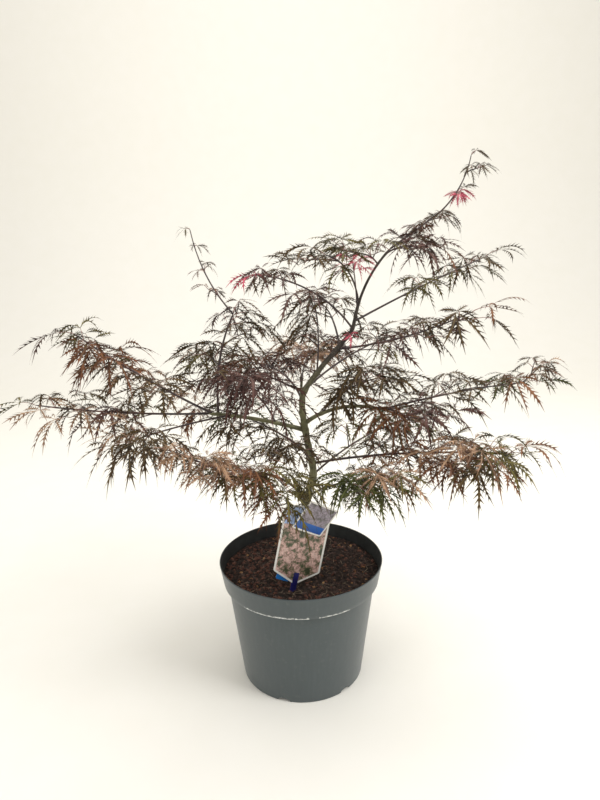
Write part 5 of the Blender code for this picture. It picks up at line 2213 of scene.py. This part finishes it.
    def kind(self, x: float, y: float) -> Crumb:
        """Picks what lies at a spot: redder bark on the left, darker mix on the right.

        Args:
            x: Across.
            y: Away.

        Returns:
            The kind.
        """
        redder = 0.5 - 0.5 * math.tanh((x + 0.02 + 0.02 * noise.noise(Vector((x, y, 9.0)) * 30)) / 0.03)
        weights = np.array([1.3, 1.2, 0.2 + 0.9 * redder, 0.06])
        kinds = (Crumb.PEAT, Crumb.DARK_BARK, Crumb.RED_BARK, Crumb.WOOD)
        return kinds[int(self.dice.choice(4, p=weights / weights.sum()))]

    def chip(self, long: float, wide: float, thick: float) -> tuple[Array, Array]:
        """Shapes a splintered chip: a six-sided slab with uneven ends.

        Args:
            long: Its length.
            wide: Its width.
            thick: Its thickness.

        Returns:
            Its points and faces.
        """
        angles = math.tau * (np.arange(6) + self.dice.uniform(-0.25, 0.25, 6)) / 6
        outline = np.stack([np.cos(angles) * long / 2, np.sin(angles) * wide / 2], 1)
        outline *= self.dice.uniform(0.75, 1.15, (6, 1))
        top = np.c_[outline * self.dice.uniform(0.7, 0.95), self.dice.uniform(0.3, 0.6, 6) * thick]
        bottom = np.c_[outline, -self.dice.uniform(0.3, 0.6, 6) * thick]
        points = np.concatenate([top, bottom, [[0, 0, 0.6 * thick], [0, 0, -0.6 * thick]]])
        faces = []
        for i in range(6):
            j = (i + 1) % 6
            faces += [(12, i, j), (13, 6 + j, 6 + i), (6 + i, 6 + j, j), (6 + i, j, i)]
        return points, np.array(faces)

    def attitude(self) -> Array:
        """Picks how a chip lies.

        Returns:
            The rotation.
        """
        dice = self.dice
        about, tip, roll = dice.uniform(0, math.tau), dice.normal(0, self.lean), dice.normal(0, self.lean)
        turn = Matrix.Rotation(about, 3, "Z") @ Matrix.Rotation(tip, 3, "X") @ Matrix.Rotation(roll, 3, "Y")
        return np.array(turn).T


# Labels

LABEL_THICKNESS = 0.0010


@dataclass
class Card:
    """A printed plastic card: its place and turns, and its outline across and up from its origin."""

    name: str
    node: str
    origin: Place
    turns: Place
    low: tuple[float, float]
    high: tuple[float, float]
    point: float = 0.0  # depth of a pointed foot
    back: float = 0.0  # how far it is set back
    tilt: float = 0.0  # in its own plane, degrees
    centre: tuple[float, float] = (0.0, 0.0)
    corner: float = 0.003
    thickness: float = 0.0006
    bow: float = 0.0008

    def frame(self) -> tuple[Vector, Vector, Vector]:
        """Gives the ways across, up and out of the card.

        Returns:
            The three ways.
        """
        about, lean, tilt = (math.radians(a) for a in self.turns)
        turn = Matrix.Rotation(about, 3, "Z") @ Matrix.Rotation(-lean, 3, "X") @ Matrix.Rotation(tilt, 3, "Y")
        return turn @ Vector((1, 0, 0)), turn @ Vector((0, 0, 1)), turn @ Vector((0, -1, 0))

    def build(self, front: Material, reverse: Material) -> Piece:
        """Builds the card.

        Args:
            front: The print.
            reverse: The blank back and edges.

        Returns:
            The card.
        """
        piece = self.blank()
        self.lay_uvs(piece)
        piece.data.materials.append(front)
        piece.data.materials.append(reverse)
        self.place(piece)
        apply_modifier(
            piece, "SOLIDIFY", thickness=self.thickness, offset=-1.0, material_offset=1,
            material_offset_rim=1, use_even_offset=True,
        )
        select_only(piece)
        bpy.ops.object.shade_smooth_by_angle(angle=math.radians(40))
        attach(piece, "root")
        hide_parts(self.node)
        return piece

    def blank(self) -> Piece:
        """Cuts the flat blank: a grid with its corners rounded and its foot cut to a point.

        Returns:
            The blank, lying in the XY plane.
        """
        bpy.ops.object.select_all(action="DESELECT")
        bpy.ops.mesh.primitive_plane_add(size=1, location=(0, 0, 0))
        piece = bpy.context.object
        piece.name = self.name
        mesh = bmesh.new()
        outline = self.outline()
        corners = [mesh.verts.new((x, y, 0)) for x, y in outline]
        mesh.faces.new(corners)
        mesh.to_mesh(piece.data)
        mesh.free()
        bpy.ops.object.mode_set(mode="EDIT")
        for way, (low, high) in (
            ((1, 0, 0), (self.low[0], self.high[0])), ((0, 1, 0), (self.low[1], self.high[1]))
        ):
            for share in np.linspace(0.1, 0.9, 9):
                bpy.ops.mesh.select_all(action="SELECT")
                at = low + (high - low) * share
                bpy.ops.mesh.bisect(plane_co=(way[0] * at, way[1] * at, 0), plane_no=way)
        bpy.ops.object.mode_set(mode="OBJECT")
        return piece

    def outline(self) -> Rings:
        """Draws the card's outline with rounded corners.

        Returns:
            The outline's points.
        """
        (x0, y0), (x1, y1) = self.low, self.high
        if self.point:
            corners = [(0, y0), (x1, y0 + self.point), (x1, y1), (x0, y1), (x0, y0 + self.point)]
        else:
            corners = [(x0, y0), (x1, y0), (x1, y1), (x0, y1)]
        rows = []
        for i, corner in enumerate(corners):
            here = Vector(corner)
            before = (Vector(corners[i - 1]) - here).normalized() * self.corner
            after = (Vector(corners[(i + 1) % len(corners)]) - here).normalized() * self.corner
            for k in range(7):
                t = k / 6
                rows.append(tuple(here + before * (1 - t) ** 2 + after * t**2))
        return rows

    def lay_uvs(self, piece: Piece) -> None:
        """Lays the UV map across and up in units of CARD_UNIT.

        Args:
            piece: The flat blank.
        """
        layers = piece.data.uv_layers
        layer = layers[0] if layers else layers.new(name="UVMap")
        for loop in piece.data.loops:
            at = piece.data.vertices[loop.vertex_index].co
            layer.data[loop.index].uv = (at.x / CARD_UNIT, at.y / CARD_UNIT)

    def place(self, piece: Piece) -> None:
        """Bows the blank a little and stands it in its place.

        Args:
            piece: The flat blank.
        """
        across, up, out = self.frame()
        tilt = math.radians(self.tilt)
        origin = Vector(self.origin) - out * self.back
        half = (self.high[0] - self.low[0]) / 2
        for vertex in piece.data.vertices:
            x, y = vertex.co.x, vertex.co.y
            deep = self.bow * (1 - (x / half) ** 2) - self.bow
            turned_x = self.centre[0] + x * math.cos(tilt) + y * math.sin(tilt)
            turned_y = self.centre[1] + y * math.cos(tilt) - x * math.sin(tilt)
            vertex.co = origin + across * turned_x + up * turned_y + out * deep
        piece.data.update()


@dataclass
class Labels:
    """The picture label on its stake, the plain label behind it, and the hang tag with its strap."""

    plant: Plant
    tip: Place = (-0.0116, -0.080, 0.206)
    turns: Place = (14.0, 1.0, 12.5)
    size: tuple[float, float] = (0.080, 0.137)
    point: float = 0.022
    back_size: tuple[float, float] = (0.024, 0.100)
    back_at: tuple[float, float] = (-0.0113, 0.0536)
    back_tilt: float = 24.0
    tag_size: tuple[float, float] = (0.058, 0.056)
    tag_centre: Place = (0.0255, -0.0835, 0.3225)
    tag_turns: Place = (17.0, -16.0, 31.0)
    strap: float = 0.0022
    strap_height: float = 0.160
    strap_inset: float = 0.005
    strap_pair: float = 0.003
    strap_wrap: float = 70.0
    strap_steps: int = 9
    strap_slack: float = 1.04
    stake_width: float = 0.010
    stake_thickness: float = 0.0016
    stake_above: float = 0.075
    stake_below: float = 0.045
    tab_height: float = 0.022
    tab_thickness: float = 0.0009

    def picture(self) -> Card:
        """Cuts the picture label.

        Returns:
            The card.
        """
        half = self.size[0] / 2
        return Card(
            "picture_card", "picture_label", self.tip, self.turns, (-half, 0), (half, self.size[1]),
            self.point,
        )

    def plain(self) -> Card:
        """Cuts the plain label behind it.

        Returns:
            The card.
        """
        back = LABEL_THICKNESS + 2 * GAP + self.stake_thickness
        half = (self.back_size[0] / 2, self.back_size[1] / 2)
        return Card(
            "plain_card", "back_label", self.tip, self.turns, (-half[0], -half[1]), half, back=back,
            tilt=self.back_tilt - self.turns[2], centre=self.back_at,
        )

    def tag(self) -> Card:
        """The hang tag's card."""
        half = (self.tag_size[0] / 2, self.tag_size[1] / 2)
        return Card("tag_card", "hang_tag", self.tag_centre, self.tag_turns, (-half[0], -half[1]), half)

    def put_picture(self, space: Space) -> None:
        """Adds the picture label to the space."""
        space.put_card("picture_label", self.picture())

    def strap_line(self) -> Array:
        """Leads the strap from the tag's hole round the back of the trunk and back.

        Returns:
            The strap's points.
        """
        line = self.plant.lines["trunk"]
        height = SOIL_TOP + self.strap_height
        centre = np.array([np.interp(height, line[:, 2], line[:, k]) for k in range(3)])
        radius = float(np.interp(height, line[:, 2], self.plant.radii["trunk"])) + GAP + self.strap / 2
        _, up, out = (np.array(way) for way in self.tag().frame())
        high = self.tag_size[1] / 2 - self.strap_inset
        hold = np.array(self.tag_centre) + up * high - out * LABEL_THICKNESS / 2
        away = level(hold - centre)
        side = np.array([-away[1], away[0], 0])
        between = (hold + centre + away * radius * 2) / 2
        spread = side * radius * 0.9
        rows = [hold + side * self.strap_pair, between + spread]
        for degrees in np.linspace(self.strap_wrap, 360 - self.strap_wrap, self.strap_steps):
            angle = math.radians(degrees)
            rows.append(
                centre + radius * self.strap_slack * (math.cos(angle) * away + math.sin(angle) * side)
            )
        return np.array([*rows, between - spread, hold - side * self.strap_pair])

    def put_tag(self, space: Space) -> None:
        """Adds the tag and its strap to the space.

        Args:
            space: What stands where.
        """
        space.put_card("hang_tag", self.tag())
        strap = self.strap_line()
        space.put("hang_tag", strap[:-1], strap[1:], np.full(len(strap) - 1, self.strap / 2))

    def build(self) -> list[Piece]:
        """Builds the cards, the stake and the strap.

        Returns:
            The pieces.
        """
        white = PlasticFinish("white_card_back", "#e4e2dc", "#d2d0ca", 0.4).build()
        picture, plain, tag = self.picture(), self.plain(), self.tag()
        foliage = (
            (0.40, "#39402c"), (0.46, "#5c6247"), (0.49, "#94786c"), (0.54, "#cba89e"), (0.62, "#dabdb4")
        )
        blue = ((0.3, "#1d6ab4"), (0.7, "#2478c8"))
        mauve = ((0.38, "#55564a"), (0.48, "#857c86"), (0.56, "#a39aa6"), (0.66, "#5c6a4a"))
        prints = (
            PrintFinish(
                "printed_foliage_label", foliage, ("#9db4de", "#b6c6e4"), 1.045, 1.335, picture, 0.032
            ),
            PrintFinish("blue_plain_label", blue, ("#1f74c4", "#2a7cc8"), -0.6, 0.0, plain),
            PrintFinish("printed_hang_tag", mauve, ("#244f9c", "#2f66b4"), -0.255, -0.11, tag, 0.025),
        )
        cards = [finish.card.build(finish.build(), white) for finish in prints]
        return [*cards, self.build_strap(), self.build_stake()]

    def build_strap(self) -> Piece:
        """Builds the tag's thin moulded strap.

        Returns:
            The strap.
        """
        line = smooth_course(self.strap_line(), 6)
        joined = JoinedMesh()
        joined.add(*tube(line, np.full(len(line), self.strap / 2), 8))
        piece = joined.build("tag_strap", [PlasticFinish("white_strap", "#dcdad4", "#c8c6c0", 0.35).build()])
        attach(piece, "root")
        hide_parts("hang_tag")
        return piece

    def build_stake(self) -> Piece:
        """Builds the stake, pointed below, with a tab that folds over the label's foot.

        Returns:
            The stake.
        """
        across, up, out = self.picture().frame()
        blade = (self.stake_width, self.stake_thickness, self.stake_above + self.stake_below)
        piece = self.slab("navy_stake", blade, (0, 0, (self.stake_above - self.stake_below) / 2))
        mesh = bmesh.from_edit_mesh(piece.data)
        for face in mesh.faces:
            face.select_set(face.normal.z < -0.9)
        bmesh.update_edit_mesh(piece.data)
        bpy.ops.mesh.extrude_region_move(TRANSFORM_OT_translate={"value": (0, 0, -self.stake_width)})
        bpy.ops.transform.resize(value=(0.08, 1, 1))
        bpy.ops.object.mode_set(mode="OBJECT")
        back = LABEL_THICKNESS + GAP + self.stake_thickness / 2
        tab_size = (self.stake_width * 0.9, self.tab_thickness, self.tab_height)
        tab = self.slab("stake_tab", tab_size, (0, -self.tab_thickness, self.tab_height / 2 - 0.001))
        bpy.ops.object.mode_set(mode="OBJECT")
        piece.data.transform(Matrix.Translation((0, back, 0)))
        select_only(tab)
        piece.select_set(True)
        bpy.context.view_layer.objects.active = piece
        bpy.ops.object.join()
        turn = Matrix((across, -out, up)).transposed()
        piece.data.transform(Matrix.Translation(Vector(self.tip)) @ turn.to_4x4())
        apply_modifier(piece, "BEVEL", width=0.00035, segments=2, limit_method="ANGLE")
        select_only(piece)
        bpy.ops.object.shade_smooth_by_angle(angle=math.radians(40))
        piece.data.materials.clear()
        piece.data.materials.append(PlasticFinish("navy_stake_plastic", "#20206a", "#191950", 0.32).build())
        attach(piece, "root")
        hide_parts("label_stake")
        return piece

    def slab(self, name: str, size: Place, middle: Place) -> Piece:
        """Starts a slab in the label's own directions, and leaves it in edit mode.

        Args:
            name: Its name.
            size: Its width, thickness and height.
            middle: Its middle.

        Returns:
            The slab.
        """
        bpy.ops.object.select_all(action="DESELECT")
        bpy.ops.mesh.primitive_cube_add(size=1, enter_editmode=True)
        bpy.context.object.name = name
        bpy.ops.transform.resize(value=size)
        bpy.ops.transform.translate(value=middle)
        return bpy.context.object


# Studio


@dataclass
class Studio:
    """A pale floor that sweeps up behind, soft lights, and the camera."""

    floor: str = "#f2efe8"
    shade: str = "#efece3"
    half_width: float = 7.0
    near: float = -6.0
    bend_at: float = 2.2
    bend_radius: float = 1.6
    top: float = 6.0
    camera_at: Place = (0.004, -0.974, 0.734)
    pitch: float = 13.5
    roll: float = -1.14
    lens: float = 27.0

    def build(self) -> None:
        """Builds the floor, the lights, the world and the camera."""
        self.build_sweep()
        self.build_light("key_light", (1.7, -0.9, 2.3), 1.2, 46.0)
        self.build_light("fill_light", (-1.8, -1.5, 2.0), 1.6, 14.0)
        self.build_light("top_light", (0.1, 0.5, 3.0), 2.0, 24.0)
        self.build_light("backdrop_light", (0.0, 1.2, 3.6), 2.6, 38.0, (0.0, 3.8, 2.0))
        world = bpy.data.worlds.new("soft_studio")
        world.use_nodes = True
        background = world.node_tree.nodes["Background"]
        background.inputs["Color"].default_value = linear("#fbf9f4")
        background.inputs["Strength"].default_value = 0.70
        bpy.context.scene.world = world
        bpy.context.scene.view_settings.view_transform = "Standard"
        self.build_camera()

    def build_sweep(self) -> None:
        """Builds the floor, curved up into a backdrop far behind."""
        rows, radius = [(self.near, 0.0), (self.bend_at, 0.0)], self.bend_radius
        for degrees in np.linspace(0, 90, 13)[1:]:
            a = math.radians(degrees)
            rows.append((self.bend_at + radius * math.sin(a), radius - radius * math.cos(a)))
        rows.append((self.bend_at + radius, self.top))
        points, faces = [], []
        for y, z in rows:
            points += [(-self.half_width, y, z), (self.half_width, y, z)]
        for i in range(len(rows) - 1):
            faces.append((2 * i, 2 * i + 1, 2 * i + 3, 2 * i + 2))
        mesh = bpy.data.meshes.new("studio_sweep")
        mesh.from_pydata(points, [], faces)
        for face in mesh.polygons:
            face.use_smooth = True
        sweep = bpy.data.objects.new("studio_sweep", mesh)
        bpy.context.scene.collection.objects.link(sweep)
        material, add, shader = new_material("matt_paper_sweep")
        place = add("TexCoord").outputs
        fibre = add("TexNoise", {"Vector": place["Object"], "Scale": per_mm(90), "Detail": 2.0})
        ramp = set_stops(add("ValToRGB", {"Fac": fibre}), [(0.0, self.shade), (1.0, self.floor)])
        feed(shader, {"Base Color": ramp, "Roughness": 0.9})
        mesh.materials.append(material)

    def build_light(
        self, name: str, at: Place, size: float, power: float, towards: Place = (0.0, 0.0, 0.4)
    ) -> None:
        """Hangs a square softbox.

        Args:
            name: Its name.
            at: Its place.
            size: Its side.
            power: Its power in watts.
            towards: What it faces, by default the tree.
        """
        light = bpy.data.lights.new(name, "AREA")
        light.size = size
        light.energy = power
        lamp = bpy.data.objects.new(name, light)
        lamp.location = at
        lamp.rotation_euler = (Vector(towards) - Vector(at)).to_track_quat("-Z", "Y").to_euler()
        bpy.context.scene.collection.objects.link(lamp)

    def build_camera(self) -> None:
        """Stands the camera in front of the labels, a little above the crown, pitched down."""
        pitch, roll = math.radians(self.pitch), math.radians(self.roll)
        right = Vector((1, 0, 0))
        up = Vector((0, math.sin(pitch), math.cos(pitch)))
        ahead = Vector((0, math.cos(pitch), -math.sin(pitch)))
        turned_right = right * math.cos(roll) + up * math.sin(roll)
        turned_up = up * math.cos(roll) - right * math.sin(roll)
        camera = bpy.data.cameras.new("camera")
        camera.lens = self.lens
        camera.sensor_width = 36.0
        camera.sensor_fit = "AUTO"
        stand = bpy.data.objects.new("camera", camera)
        frame = Matrix((turned_right, turned_up, -ahead)).transposed()
        stand.matrix_world = Matrix.Translation(Vector(self.camera_at)) @ frame.to_4x4()
        bpy.context.scene.collection.objects.link(stand)
        bpy.context.scene.camera = stand


def main() -> None:
    """Dresses the part.
    """
    logging.basicConfig(level=logging.INFO, format="%(message)s")
    plant, space = Plant(), Space()
    limbs, labels, crown, pot = Limbs(plant), Labels(plant), Crown(plant), NurseryPot()
    labels.put_picture(space)
    limbs.lay_out(space)
    labels.put_tag(space)
    rules = crown.lay_out(space)
    pieces = [pot.build()]
    pieces += PottingMix(pot).build()
    pieces += limbs.build(BarkFinish().build())
    pieces += crown.build(rules)
    pieces += labels.build()
    Studio().build()
    for piece in pieces:
        LOG.info("%s: %d faces", piece.name, len(piece.data.polygons))


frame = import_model()

if __name__ == "__main__":
    main()
